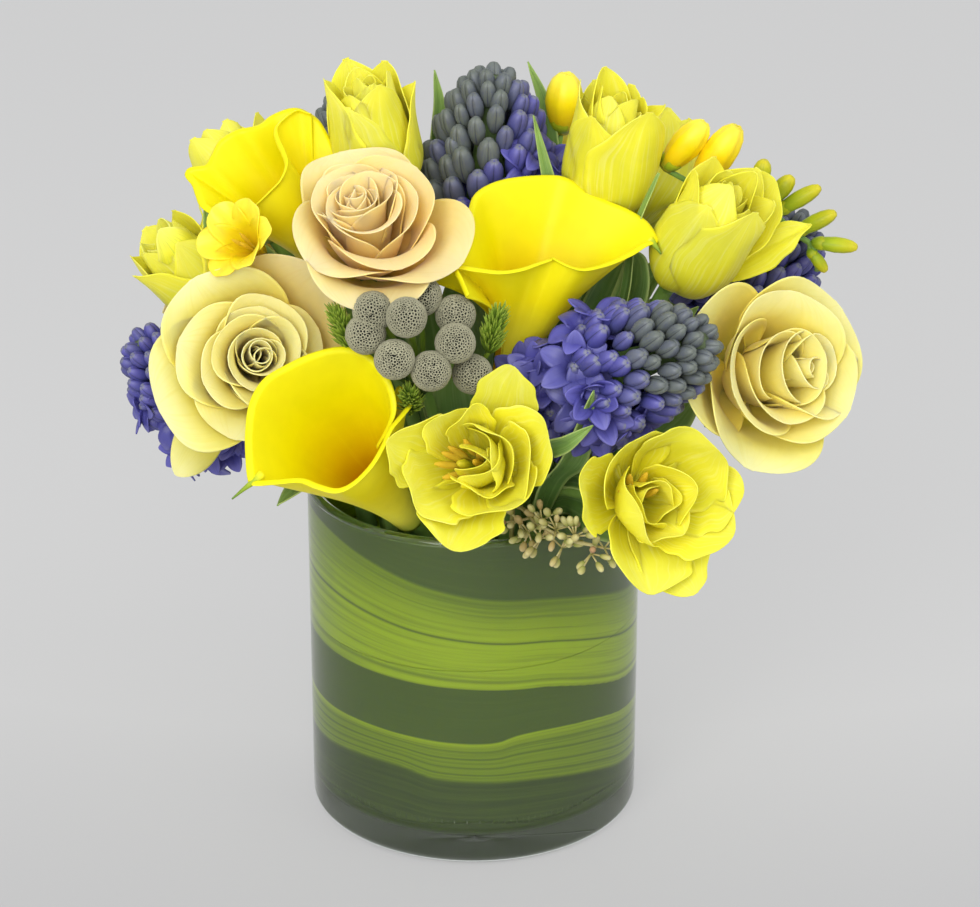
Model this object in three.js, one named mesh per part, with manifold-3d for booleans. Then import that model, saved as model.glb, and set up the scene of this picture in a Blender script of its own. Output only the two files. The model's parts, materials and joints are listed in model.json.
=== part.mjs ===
// A spring bouquet in a leaf-lined glass cylinder: yellow calla lilies with roses, tulips, hyacinths,
// freesias, brunia and seeded eucalyptus. Millimetres, +Z up, the origin at the middle of the vase's
// underside, and -Y towards the front of the bouquet.
import * as THREE from "three";
import { mergeVertices } from "three/addons/utils/BufferGeometryUtils.js";
import Module from "manifold-3d";

const wasm = await Module();
wasm.setup();

// ---------------------------------------------------------------- driving dimensions

const VASE = { radius: 75, height: 160, wall: 5, floor: 13, heel: 5, rim: 2.2 };
const GAP = 0.3; // clearance between pieces that touch
const LEAF_THICK = 0.8;
const LINER = { bottom: 15, seam: 104, top: 155, overlap: 8, slope: 5, open: 0.12 };
const NECK = { height: 155, reach: 0.42, limit: 53 }; // where a stem passes the vase's mouth
const FOOT_HEIGHT = VASE.floor + 0.6; // clear of the floor where a slanted stem is cut
const FOOT_REACH = 0.86; // of the neck's distance from the middle

// A bloom sits on its stem at `seat`, looks along `face`, and its local X leans towards `tip`.
const CALLA = { stem: 4.6, base: 5.2, mouth: 60, rim: 33, wall: 1.2 };
const CALLAS = {
  calla_front: {
    seat: [-28, -50, 160], face: [-0.36, -0.62, 0.7], tip: [-0.75, -0.1, -0.6],
    neck: [-20.4, -36.9, 128], foot: [-18, -33],
  },
  calla_centre: { seat: [12, -34, 214], face: [0.3, -0.2, 0.94], tip: [1, -0.15, 0] },
  calla_left: { seat: [-62, -12, 262], face: [-0.5, -0.2, 0.84], tip: [-1, -0.4, 0] },
  calla_back: {
    seat: [-36, 66, 184], face: [-0.3, 0.72, 0.62], tip: [-0.4, 0.8, -0.4], neck: [-12, 42],
  },
};

const ROSE = { stem: 3.2, radius: 36, height: 46 };
const ROSES = {
  rose_upper: { seat: [-44, -42, 274], face: [0.08, -0.5, 0.86] },
  rose_left: { seat: [-97, -50, 230], face: [0.1, -0.9, 0.38] },
  rose_right: { seat: [118, -33, 219], face: [0.42, -0.8, 0.4] },
  rose_back: { seat: [18, 65, 261], face: [0.08, 0.5, 0.86] },
  rose_back_left: { seat: [-96, 50, 212], face: [-0.6, 0.66, 0.45] },
  rose_back_right: { seat: [98, 60, 212], face: [0.58, 0.66, 0.48] },
};

const TULIP = { stem: 3.4, radius: 26, height: 56 };
const OPEN_TULIP = { stem: 3.4, radius: 34, height: 34 };
const TULIPS = {
  tulip_top_left: { seat: [-39, 5, 291], face: [-0.12, -0.12, 0.98] },
  tulip_top_right: { seat: [57, 3, 283], face: [0.12, -0.12, 0.98] },
  tulip_right: { seat: [87, -21, 261], face: [0.48, -0.28, 0.83] },
  tulip_left: { seat: [-104, -6, 240], face: [-0.62, -0.35, 0.7], neck: [-43, 0] },
  tulip_front: { seat: [4, -87, 200], face: [-0.05, -0.85, 0.52], open: true },
  tulip_front_right: { seat: [66, -83, 184], face: [0.45, -0.8, 0.36], open: true },
  tulip_back: { seat: [72, 42, 262], face: [0.4, 0.42, 0.82] },
  tulip_back_left: { seat: [-88, 26, 262], face: [-0.5, 0.3, 0.83] },
  tulip_back_low: { seat: [26, 88, 196], face: [0.15, 0.86, 0.5], open: true },
};

const HYACINTH = { stem: 5, radius: 29, length: 74, core: 9 };
const HYACINTHS = {
  hyacinth_top: { seat: [6, 20, 272], face: [0.04, -0.06, 1] },
  hyacinth_centre: { seat: [51, -67, 231], face: [0.72, -0.52, 0.42], size: 0.84, neck: [17, -25] },
  hyacinth_left: { seat: [-110, -14, 188], face: [-0.75, -0.25, 0.6], size: 0.85, neck: [-51, -11] },
  hyacinth_right: { seat: [116, 18, 224], face: [0.5, -0.05, 0.86], size: 0.85 },
  hyacinth_back: { seat: [-44, 44, 262], face: [-0.2, 0.4, 0.88], size: 0.9 },
};

// A freesia's stem bends over into a comb of flowers, each one [tip, half width] on the stem's top.
const FREESIA_STEM = 1.8;
const FREESIAS = {
  freesia_left: {
    comb: [[-78, -30, 262], [-89, -39, 278]],
    buds: [[[-97, -52, 289], 13]],
  },
  freesia_right: {
    comb: [[96, 4, 280], [108, 0, 285], [125, -4, 284], [136, -6, 278], [147, -8, 272], [150, -9, 266]],
    buds: [
      [[95, 0, 324], 8], [[116, -6, 325], 8], [[126, -6, 310], 5], [[138, -8, 304], 5],
      [[150, -10, 299], 4.5], [[157, -12, 289], 4], [[167, -12, 271], 3.6], [[153, -10, 259], 3.2],
    ],
  },
  freesia_top: {
    comb: [[36, 34, 290], [39, 38, 308]],
    buds: [[[40, 36, 336], 8], [[28, 46, 328], 6]],
  },
  freesia_back: {
    comb: [[-8, 72, 222], [-11, 90, 238], [-13, 108, 240], [-14, 120, 232]],
    buds: [[[-16, 96, 266], 8], [[-10, 114, 264], 7], [[-17, 130, 252], 5], [[-16, 136, 234], 4]],
  },
};

const BRUNIA = { stem: 2.6, twig: 1.5, ball: 8.4, tuft: 5, top: [-21, -62, 230] };
const BRUNIA_BALLS = [
  [-41, -87, 268], [-27, -94, 267], [-18, -76, 272], [-6, -78, 266], [-44, -90, 260],
  [-32, -98, 253], [-7, -90, 257], [-17, -96, 250], [1, -81, 243],
];
const BRUNIA_TUFTS = [[-54, -80, 274], [11, -80, 266], [-25, -84, 237]];

const SEED = { half: 1.9, stem: 1.1 };
const SEED_TWIG = [[17, -47], [20, -60, 170], [28, -80, 171], [40, -86, 167], [53, -85, 163]];
const SEEDS = [
  [13, -80, 171], [19, -86, 166], [29, -85, 179], [26, -88, 163], [36, -89, 175],
  [36, -91, 160], [45, -91, 173], [50, -90, 157], [60, -85, 161],
];

// Leaves, each on a stem: the path of the blade, its width, and the way its flat side faces.
const LEAVES = {
  leaf_front: [[[29, -46, 160], [34, -65, 184], [43, -87, 204], [48, -103, 228]], 15, [0.4, -1, 0.4]],
  leaf_left: [[[-49, -26, 167], [-62, -38, 174], [-74, -52, 177], [-84, -67, 174]], 15, [0, 0.3, 1]],
  leaf_right: [[[61, -17, 230], [66, -27, 256], [71, -36, 286], [79, -45, 314]], 12, [-0.4, -1, 0.3]],
  leaf_back: [[[6, 43, 160], [1, 66, 184], [-5, 90, 200], [-10, 112, 200]], 15, [0, -0.3, 1]],
};

const group = new THREE.Group();

// ---------------------------------------------------------------- finishes

const finish = (color, roughness) => new THREE.MeshStandardMaterial({ color, roughness, metalness: 0 });
const FINISH = {
  glass: new THREE.MeshStandardMaterial({
    color: 0xdfe8e0, roughness: 0.05, metalness: 0, transparent: true, opacity: 0.35,
  }),
  liner: finish(0x5e7d2c, 0.45),
  stem: finish(0x6d9440, 0.6),
  leaf: finish(0x5c7f3a, 0.55),
  calla: finish(0xf7e008, 0.45),
  spadix: finish(0xe9a90c, 0.7),
  rose: finish(0xf2dc94, 0.6),
  tulip: finish(0xf4ee28, 0.5),
  hyacinth: finish(0x5a55a8, 0.55),
  freesia: finish(0xf3cf1c, 0.5),
  brunia: finish(0x8d9080, 0.9),
  seed: finish(0xb9b074, 0.7),
};

// ---------------------------------------------------------------- geometry helpers

const vec = (p) => new THREE.Vector3(...p);

function add(name, geometry, material) {
  const mesh = new THREE.Mesh(geometry, material);
  mesh.name = name;
  group.add(mesh);
  return mesh;
}

// A closed surface as a manifold solid.
function solidOf(geometry) {
  const bare = geometry.clone();
  bare.deleteAttribute("normal");
  bare.deleteAttribute("uv");
  const merged = mergeVertices(bare, 1e-4);
  const vertProperties = merged.attributes.position.array;
  return new wasm.Manifold(
    new wasm.Mesh({ numProp: 3, vertProperties, triVerts: new Uint32Array(merged.index.array) }),
  );
}

function geometryOf(solid) {
  const made = solid.getMesh();
  return new THREE.BufferGeometry()
    .setAttribute("position", new THREE.BufferAttribute(made.vertProperties, 3))
    .setIndex(new THREE.BufferAttribute(made.triVerts, 1));
}

const joined = (geometries) => geometryOf(geometries.map(solidOf).reduce((a, b) => a.add(b)));

// Turns a bloom's own axes, +Z out of the bloom, to its place in the bouquet.
function placement({ seat, face, tip = [1, 0, 0] }, size = 1) {
  const z = vec(face).normalize();
  const x = vec(tip).addScaledVector(z, -vec(tip).dot(z)).normalize();
  const y = z.clone().cross(x);
  return new THREE.Matrix4().makeBasis(x, y, z).scale(vec([size, size, size])).setPosition(vec(seat));
}

// A solid of revolution about +Z from [radius, height] pairs, with each point moved by `warp`.
function revolved(profile, segments, warp = null) {
  const points = profile.map(([r, z]) => new THREE.Vector2(r, z));
  const geometry = new THREE.LatheGeometry(points, segments).rotateX(Math.PI / 2);
  if (warp) {
    const position = geometry.attributes.position;
    for (let i = 0; i < position.count; i++) {
      const r = Math.hypot(position.getX(i), position.getY(i));
      const angle = Math.atan2(position.getY(i), position.getX(i));
      position.setXYZ(i, ...warp(r, angle, position.getZ(i)));
    }
  }
  return geometry;
}

const polar = (r, angle, z) => [r * Math.cos(angle), r * Math.sin(angle), z];

// A round tube of the given radius along a smooth path through the points.
function tube(points, radius, steps = 8, sides = 6) {
  const section = new THREE.Shape();
  for (let i = 0; i < sides; i++) {
    const [x, y] = polar(radius, (2 * Math.PI * i) / sides, 0);
    if (i) section.lineTo(x, y);
    else section.moveTo(x, y);
  }
  const extrudePath = new THREE.CatmullRomCurve3(points, false, "centripetal");
  return new THREE.ExtrudeGeometry(section, { steps, extrudePath, bevelEnabled: false });
}

// A blade: a thin strip along a smooth path, widest in its middle, its flat side facing `out`.
function blade(points, width, out, thickness = LEAF_THICK, steps = 8) {
  const path = new THREE.CatmullRomCurve3(points.map(vec), false, "centripetal");
  const geometry = new THREE.BoxGeometry(1, 1, 1, 2, 1, steps);
  const position = geometry.attributes.position;
  const at = new THREE.Vector3();
  for (let i = 0; i < position.count; i++) {
    const t = position.getZ(i) + 0.5;
    path.getPointAt(t, at);
    const along = path.getTangentAt(t);
    const across = along.clone().cross(vec(out)).normalize();
    const up = along.clone().cross(across);
    const half = width * (0.12 + 0.88 * Math.sin(Math.PI * (0.12 + 0.84 * t)) ** 0.8);
    at.addScaledVector(across, position.getX(i) * half);
    at.addScaledVector(up, position.getY(i) * thickness);
    position.setXYZ(i, at.x, at.y, at.z);
  }
  return geometry;
}

// ---------------------------------------------------------------- vase and liner

function makeVase() {
  const { radius, height, wall, floor, heel, rim } = VASE;
  const inner = radius - wall;
  const profile = [
    [0, 0],
    [radius - heel, 0],
    [radius - heel * 0.3, heel * 0.3],
    [radius, heel],
    [radius, height - rim],
    [radius - rim * 0.4, height - rim * 0.4],
    [radius - wall / 2, height],
    [inner + rim * 0.4, height - rim * 0.4],
    [inner, height - rim],
    [inner, floor + heel],
    [inner - heel * 0.3, floor + heel * 0.3],
    [inner - heel, floor],
    [0, floor],
  ];
  add("vase", revolved(profile, 44), FINISH.glass);
}

// A leaf wound once round the inside of the glass, rising by `slope` from end to end.
function linerLeaf(name, low, high, outer) {
  const strip = new THREE.BoxGeometry(1, 1, 1, 36, 1, 1);
  const position = strip.attributes.position;
  for (let i = 0; i < position.count; i++) {
    const turn = position.getX(i) + 0.5;
    const angle = Math.PI / 2 + LINER.open / 2 + turn * (2 * Math.PI - LINER.open);
    const radius = outer - LEAF_THICK * (0.5 + position.getY(i));
    const z = (position.getZ(i) < 0 ? low : high) + LINER.slope * (turn - 0.5);
    position.setXYZ(i, ...polar(radius, angle, z));
  }
  add(name, strip, FINISH.liner);
}

function makeLiner() {
  const outside = VASE.radius - VASE.wall - GAP;
  const inside = outside - LEAF_THICK - GAP;
  const { bottom, seam, top, overlap, slope } = LINER;
  linerLeaf("liner_leaf_upper", seam - overlap, top - slope / 2, outside);
  linerLeaf("liner_leaf_lower", bottom + VASE.heel + slope / 2, seam + overlap, inside);
}

// ---------------------------------------------------------------- stems

// Where a stem that ends at a seat passes the vase's mouth, unless the flower names a neck of its own,
// with its height where that isn't the mouth's.
function neckOf({ seat, neck }) {
  if (neck) return vec([neck[0], neck[1], neck[2] ?? NECK.height]);
  const reach = Math.min(NECK.reach, NECK.limit / Math.hypot(seat[0], seat[1]));
  return vec([seat[0] * reach, seat[1] * reach, NECK.height]);
}

// From the vase's floor up to its mouth, where every stem and twig begins.
function footAndNeck(flower) {
  const neck = neckOf(flower);
  const foot = flower.foot ?? [neck.x * FOOT_REACH, neck.y * FOOT_REACH];
  return [vec([...foot, FOOT_HEIGHT]), neck];
}

// A stem's path, up to `start` below its bloom's seat, the last `lead` of it in line with the bloom.
function stemPath(flower, start, lead = 16) {
  const face = vec(flower.face).normalize();
  const top = vec(flower.seat).addScaledVector(face, -start);
  const bend = top.clone().addScaledVector(face, -lead);
  return [...footAndNeck(flower), bend, top];
}

function makeStem(name, flower, radius) {
  add(name, tube(stemPath(flower, GAP), radius), FINISH.stem);
}

// ---------------------------------------------------------------- blooms

// The funnel of a calla's spathe: a tube that flares to a slanted mouth with one long tip.
function spatheGeometry() {
  const { base, mouth, rim, wall } = CALLA;
  const outer = [
    [0, 0],
    [base - 1, 0],
    [base + 1.5, 8],
    [base + 5, 28],
    [base + 10, 44],
    [rim - 8, mouth - 4],
    [rim, mouth],
  ];
  const inner = [
    [rim - 0.6, mouth + wall],
    [rim - 9, mouth - 2.6],
    [base + 8.6, 45],
    [base + 3.7, 28.5],
    [base + 0.2, 8.5],
    [base - 1.4, 3],
    [0, 3],
  ];
  return revolved([...outer, ...inner], 20, (r, angle, z) => {
    const open = Math.max(0, z / mouth) ** 3;
    const out = r / rim;
    const limb = 0.5 + 0.5 * Math.cos(angle);
    const point = Math.exp(-((angle / 0.32) ** 2));
    const wide = r * (1 + open * (0.12 * Math.cos(angle) - 0.06)) + open * out * 9 * point;
    return polar(wide, angle, z + open * out * (9 * limb - 7 + 2 * point));
  });
}

function makeCalla(name, flower) {
  const place = placement(flower);
  add(name + "_spathe", spatheGeometry().applyMatrix4(place), FINISH.calla);
  const spadix = revolved([[0, 3.3], [2.4, 3.3], [2.9, 12], [2.6, 24], [1.4, 29], [0, 30.5]], 10);
  add(name + "_spadix", spadix.applyMatrix4(place), FINISH.spadix);
  makeStem(name + "_stem", flower, CALLA.stem);
}

function makeRose(name, flower) {
  const { radius, height, stem } = ROSE;
  const shape = [
    [0, 0], [0.1, 0], [0.46, 0.1], [0.8, 0.32], [1, 0.64], [0.94, 0.82],
    [0.66, 0.86], [0.5, 0.98], [0.22, 1], [0, 0.9],
  ];
  const profile = shape.map(([r, z]) => [r * radius, z * height]);
  const bloom = revolved(profile, 15, (r, angle, z) =>
    polar(r * (1 + 0.05 * Math.sin(5 * angle + z / 8)), angle, z),
  );
  add(name + "_bloom", bloom.applyMatrix4(placement(flower)), FINISH.rose);
  makeStem(name + "_stem", flower, stem);
}

function makeTulip(name, flower) {
  const { radius, height, stem } = flower.open ? OPEN_TULIP : TULIP;
  const closed = [
    [0, 0], [0.16, 0], [0.58, 0.07], [0.9, 0.26], [1, 0.5], [0.94, 0.76], [0.74, 1],
    [0.5, 0.97], [0, 0.92],
  ];
  const spread = [
    [0, 0], [0.12, 0], [0.48, 0.12], [0.84, 0.5], [1, 0.94], [0.9, 1], [0.5, 0.84], [0, 0.8],
  ];
  const profile = (flower.open ? spread : closed).map(([r, z]) => [r * radius, z * height]);
  const bloom = revolved(profile, 15, (r, angle, z) =>
    polar(r * (1 + 0.06 * Math.cos(6 * angle) * (z / height)), angle, z),
  );
  add(name + "_bloom", bloom.applyMatrix4(placement(flower)), FINISH.tulip);
  makeStem(name + "_stem", flower, stem);
}

// A hyacinth grows as one piece: the scape runs up through its close-packed florets.
function makeHyacinth(name, flower) {
  const { radius, length, core, stem } = HYACINTH;
  const shape = [
    [0, 0], [0.6, 0.02], [0.95, 0.12], [1, 0.28], [0.95, 0.45], [0.82, 0.62], [0.68, 0.78],
    [0.42, 0.93], [0, 1],
  ];
  const profile = shape.map(([r, z]) => [r * radius, z * length]);
  const head = revolved(profile, 16, (r, angle, z) =>
    polar(r * (1 + 0.05 * Math.cos(8 * angle + z / 3)), angle, z),
  );
  head.applyMatrix4(placement(flower, flower.size ?? 1));
  const scape = tube(stemPath(flower, -core, core + 16), stem * (flower.size ?? 1));
  add(name, joined([head, scape]), FINISH.hyacinth);
}

// ---------------------------------------------------------------- sprigs

const EGG_SIDES = 7;
const EGG_RINGS = 4;

// An egg-shaped bud that runs from one point to another.
function bud(from, to, half) {
  const along = to.clone().sub(from);
  const up = new THREE.Vector3(0, 0, 1);
  const turn = new THREE.Quaternion().setFromUnitVectors(up, along.clone().normalize());
  const size = new THREE.Vector3(half, half, along.length() / 2);
  const middle = from.clone().lerp(to, 0.5);
  const egg = new THREE.SphereGeometry(1, EGG_SIDES, EGG_RINGS).rotateX(Math.PI / 2);
  return egg.applyMatrix4(new THREE.Matrix4().compose(middle, turn, size));
}

// A twig whose buds each stand on the nearest point of it.
function budded(points, radius, steps, sides, buds) {
  const path = new THREE.CatmullRomCurve3(points, false, "centripetal");
  const joints = path.getSpacedPoints(steps);
  const nearest = (tip) => {
    const spots = joints.slice(1).map((end, i) =>
      new THREE.Line3(joints[i], end).closestPointToPoint(tip, true, new THREE.Vector3()),
    );
    return spots.reduce((a, b) => (b.distanceTo(tip) < a.distanceTo(tip) ? b : a));
  };
  const eggs = buds.map(([tip, half]) => {
    const root = nearest(vec(tip));
    const sunk = root.clone().sub(vec(tip)).setLength(radius / 2);
    return bud(root.add(sunk), vec(tip), half);
  });
  return joined([tube(points, radius, steps, sides), ...eggs]);
}

function makeFreesia(name, { comb, buds }) {
  const points = [...footAndNeck({ seat: comb[0] }), ...comb.map(vec)];
  add(name, budded(points, FREESIA_STEM, 18, 6, buds), FINISH.freesia);
}

// A brunia's stem forks into short twigs, each ending in a grey ball or a tuft of green needles.
function makeBrunia() {
  const { stem, twig, ball, tuft, top } = BRUNIA;
  const crown = vec(top);
  const trunk = tube([...footAndNeck({ seat: top }), crown], stem, 6, 6);
  const fork = crown.clone().setZ(crown.z - 2 * stem);
  const twigTo = (at) => {
    const elbow = crown.clone().lerp(at, 0.5);
    return tube([fork, elbow, at], twig, 2, 4);
  };
  const twigs = [...BRUNIA_BALLS, ...BRUNIA_TUFTS].map((at) => twigTo(vec(at)));
  const balls = BRUNIA_BALLS.map(([x, y, z]) => bud(vec([x, y, z - ball]), vec([x, y, z + ball]), ball));
  const tufts = BRUNIA_TUFTS.map((at) => bud(crown.clone().lerp(vec(at), 0.4), vec(at), tuft));
  add("brunia_sprig", joined([trunk, ...twigs, ...balls, ...tufts]), FINISH.brunia);
}

function makeEucalyptus() {
  const [start] = SEED_TWIG;
  const points = [...footAndNeck({ neck: start }), ...SEED_TWIG.slice(1).map(vec)];
  const buds = SEEDS.map((tip) => [tip, SEED.half]);
  add("eucalyptus_sprig", budded(points, SEED.stem, 22, 4, buds), FINISH.seed);
}

for (const [name, flower] of Object.entries(CALLAS)) makeCalla(name, flower);
for (const [name, flower] of Object.entries(ROSES)) makeRose(name, flower);
for (const [name, flower] of Object.entries(TULIPS)) makeTulip(name, flower);
for (const [name, flower] of Object.entries(HYACINTHS)) makeHyacinth(name, flower);
for (const [name, spike] of Object.entries(FREESIAS)) makeFreesia(name, spike);
for (const [name, [path, width, out]] of Object.entries(LEAVES)) {
  add(name, blade(path, width, out), FINISH.leaf);
}
makeBrunia();
makeEucalyptus();
makeVase();
makeLiner();

export default group;
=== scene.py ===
"""Looks of a spring bouquet in a leaf-lined glass cylinder.

Yellow calla lilies stand among roses, tulips, hyacinths, freesias, brunia and seeded eucalyptus. Lengths
are in millimetres until a mesh is written, which is in metres. The origin is the middle of the vase's
underside, +Z is up, and -Y points to the front of the bouquet.
"""

import json
import logging
import math
from dataclasses import dataclass, field, replace
from enum import Enum
from typing import Any

import bpy
import numpy as np
from mathutils import Matrix

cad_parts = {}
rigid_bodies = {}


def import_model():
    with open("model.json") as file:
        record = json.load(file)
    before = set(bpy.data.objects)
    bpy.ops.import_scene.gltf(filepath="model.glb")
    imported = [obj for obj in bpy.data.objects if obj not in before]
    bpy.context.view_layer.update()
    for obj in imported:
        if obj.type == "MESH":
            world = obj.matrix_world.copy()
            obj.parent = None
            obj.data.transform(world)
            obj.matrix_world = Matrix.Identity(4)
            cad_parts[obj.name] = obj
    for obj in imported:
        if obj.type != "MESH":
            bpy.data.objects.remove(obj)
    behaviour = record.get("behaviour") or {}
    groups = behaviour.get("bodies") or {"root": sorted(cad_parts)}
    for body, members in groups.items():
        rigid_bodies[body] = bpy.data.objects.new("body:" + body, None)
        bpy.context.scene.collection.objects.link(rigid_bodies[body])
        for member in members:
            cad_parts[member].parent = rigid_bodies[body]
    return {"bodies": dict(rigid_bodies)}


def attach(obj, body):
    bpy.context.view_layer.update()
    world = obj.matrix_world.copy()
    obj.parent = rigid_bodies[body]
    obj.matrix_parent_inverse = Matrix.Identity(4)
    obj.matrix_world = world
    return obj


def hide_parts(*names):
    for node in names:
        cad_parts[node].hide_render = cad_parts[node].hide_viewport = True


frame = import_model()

LOG = logging.getLogger("bouquet")
METRE = 0.001  # one millimetre
BODY = next(iter(frame["bodies"]))
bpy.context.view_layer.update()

Vec = tuple[float, float, float]
Pair = tuple[float, float]
Looks = dict[Any, Any]  # each finish's material
GOLDEN = math.pi * (3.0 - math.sqrt(5.0))  # the turn from one leaf, petal or floret to the next
CIRCLE = 2.0 * math.pi
ROUND = 6.28  # the range of a random turn, in radians
THIRD = 2.1  # a third of a turn, nearly, so that three parts in a ring aren't quite even


# -------- sums


def smooth(x: np.ndarray) -> np.ndarray:
    """Returns a soft step from 0 to 1, with level ends."""
    x = np.clip(x, 0.0, 1.0)
    return x * x * (3.0 - 2.0 * x)


def mix(low: Any, high: Any, share: Any) -> Any:
    """Returns the value that lies `share` of the way from low to high."""
    return low + (high - low) * share


def unit(v: Any) -> np.ndarray:
    """Returns a vector, or an array of them, at length 1."""
    v = np.asarray(v, float)
    return v / np.maximum(np.linalg.norm(v, axis=-1, keepdims=True), 1e-9)


def curve(points: Any, count: int) -> np.ndarray:
    """Runs a smooth curve through a few points.

    Args:
        points: the points, each of any number of values.
        count: how many points to return, evenly spaced in the curve's own parameter.

    Returns:
        An array of `count` points.
    """
    p = np.asarray(points, float)
    t = np.linspace(0.0, len(p) - 1, count)
    i = np.minimum(t.astype(int), len(p) - 2)
    f = (t - i)[:, None]
    ends = np.vstack([2 * p[0] - p[1], p, 2 * p[-1] - p[-2]])
    a, b, c, d = ends[i], ends[i + 1], ends[i + 2], ends[i + 3]
    return 0.5 * (2 * b + (c - a) * f + (2 * a - 5 * b + 4 * c - d) * f**2 + (3 * b - a - 3 * c + d) * f**3)


def frame_at(seat: Vec, face: Vec, tip: Vec = (1.0, 0.0, 0.0), size: float = 1.0) -> np.ndarray:
    """Places a bloom's own axes, +Z out of the bloom, in the bouquet.

    Args:
        seat: where the bloom stands on its stem.
        face: the way the bloom looks.
        tip: the way its X axis leans.
        size: how much larger it is than the pattern.

    Returns:
        A 4x4 matrix.
    """
    z = unit(face)
    x = unit(np.asarray(tip, float) - z * np.dot(tip, z))
    m = np.eye(4)
    m[:3, 0], m[:3, 1], m[:3, 2], m[:3, 3] = x * size, np.cross(z, x) * size, z * size, seat
    return m


def moved(points: np.ndarray, place: np.ndarray) -> np.ndarray:
    """Returns points of any array shape, moved by a 4x4 matrix."""
    return points @ place[:3, :3].T + place[:3, 3]


def upright(heights: np.ndarray, place: np.ndarray) -> np.ndarray:
    """Returns the points at these heights on a bloom's own axis."""
    level = np.zeros_like(heights)
    return moved(np.stack([level, level, heights], -1), place)


# -------- the photograph's camera


@dataclass(frozen=True)
class Eye:
    """The photograph's camera, fitted to the vase's rim, sides and base.

    A margin that is read off the photograph is kept as places in the view, counted in pixels, and `onto`
    sets it on a plane that stands at the flower's real depth.
    """

    place: Vec = (7.4, -1375.0, 763.0)
    pitch: float = 23.35  # degrees below level
    focal: float = 3332.0  # pixels
    wide: int = 980
    high: int = 907
    film: float = 36.0  # width of the sensor, mm
    far: float = 30.0  # how far it sees, m

    def axes(self) -> tuple[np.ndarray, np.ndarray, np.ndarray]:
        """Returns the camera's right, up and forward directions."""
        p = math.radians(self.pitch)
        forward = np.array([0.0, math.cos(p), -math.sin(p)])
        return np.array([1.0, 0.0, 0.0]), np.array([0.0, math.sin(p), math.cos(p)]), forward

    def onto(self, outline: Any, anchor: Vec, facing: Vec) -> np.ndarray:
        """Sets an outline of pixels on a plane.

        Args:
            outline: rows of pixel across, pixel down and mm in front of the plane towards the camera.
            anchor: a point of the plane.
            facing: the plane's normal.

        Returns:
            One point for each row.
        """
        right, up, forward = self.axes()
        rows = np.asarray(outline, float)
        u, v = rows[:, :1] - self.wide / 2, self.high / 2 - rows[:, 1:2]
        rays = unit(forward + right * u / self.focal + up * v / self.focal)
        eye, normal = np.array(self.place), unit(facing)
        reach = (np.array(anchor) - eye) @ normal / (rays @ normal)
        return eye + rays * (reach - rows[:, 2])[:, None]

    def build(self) -> None:
        """Makes the camera and gives it to the scene."""
        data = bpy.data.cameras.new("photo_camera")
        data.sensor_width = self.film
        data.lens = self.focal * self.film / self.wide
        data.clip_end = self.far
        camera = bpy.data.objects.new("photo_camera", data)
        camera.location = np.array(self.place) * METRE
        camera.rotation_euler = (math.radians(90.0 - self.pitch), 0.0, 0.0)
        bpy.context.scene.collection.objects.link(camera)
        bpy.context.scene.camera = camera


# -------- finishes


def linear(srgb: str) -> tuple[float, float, float, float]:
    """Turns an sRGB hex value to linear light.

    Args:
        srgb: six hex digits.

    Returns:
        Red, green, blue and a full alpha.
    """
    parts = (int(srgb[i : i + 2], 16) / 255.0 for i in (0, 2, 4))
    return (*(p / 12.92 if p <= 0.04045 else ((p + 0.055) / 1.055) ** 2.4 for p in parts), 1.0)


def add_node(tree: Any, kind: str, inputs: dict | None = None, stops: Any = (), **settings: Any) -> Any:
    """Adds a shader node with its settings and links.

    Args:
        tree: the node tree.
        kind: the node's type name.
        inputs: for each input, by name or number, its value or the socket that feeds it.
        stops: for a colour ramp, its places and hex colours.
        settings: the node's own options.

    Returns:
        The node.
    """
    node = tree.nodes.new(kind)
    for name, value in settings.items():
        setattr(node, name, value)
    for key, value in (inputs or {}).items():
        if isinstance(value, bpy.types.NodeSocket):
            tree.links.new(value, node.inputs[key])
        else:
            node.inputs[key].default_value = value
    for i, (place, shade) in enumerate(stops):
        band = node.color_ramp.elements
        spot = band[i] if i < len(band) else band.new(place)
        spot.position, spot.color = place, linear(shade)
    return node


def new_material(name: str) -> tuple[Any, Any, Any]:
    """Makes a material with only its shader and output.

    Args:
        name: the material's name.

    Returns:
        The material, its node tree and its Principled shader.
    """
    material = bpy.data.materials.new(name)
    material.use_nodes = True
    tree = material.node_tree
    tree.nodes.clear()
    shader = add_node(tree, "ShaderNodeBsdfPrincipled")
    add_node(tree, "ShaderNodeOutputMaterial", {"Surface": shader.outputs[0]})
    return material, tree, shader


VEIN_CELLS = 2.0  # how often a vein fades in and out from base to tip
TONE_STEP = 37.0  # how far apart two petals of unlike tone lie in the noise
VEIN_RANGE = (0.5, 0.72)  # noise at which a vein begins and is full
MARGIN_RANGE = (0.38, 0.5)  # distance from the middle line where a margin's colour begins and is full
MARGIN_SHARE = 0.8
CLOUD_SCALE = 90.0  # for each metre: patches about 11 mm wide
CLOUD_RANGE = (0.3, 0.7)
THROUGH = (1.0, 0.8, 0.3)  # how far red, green and blue light go through a petal, as shares of its depth


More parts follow.
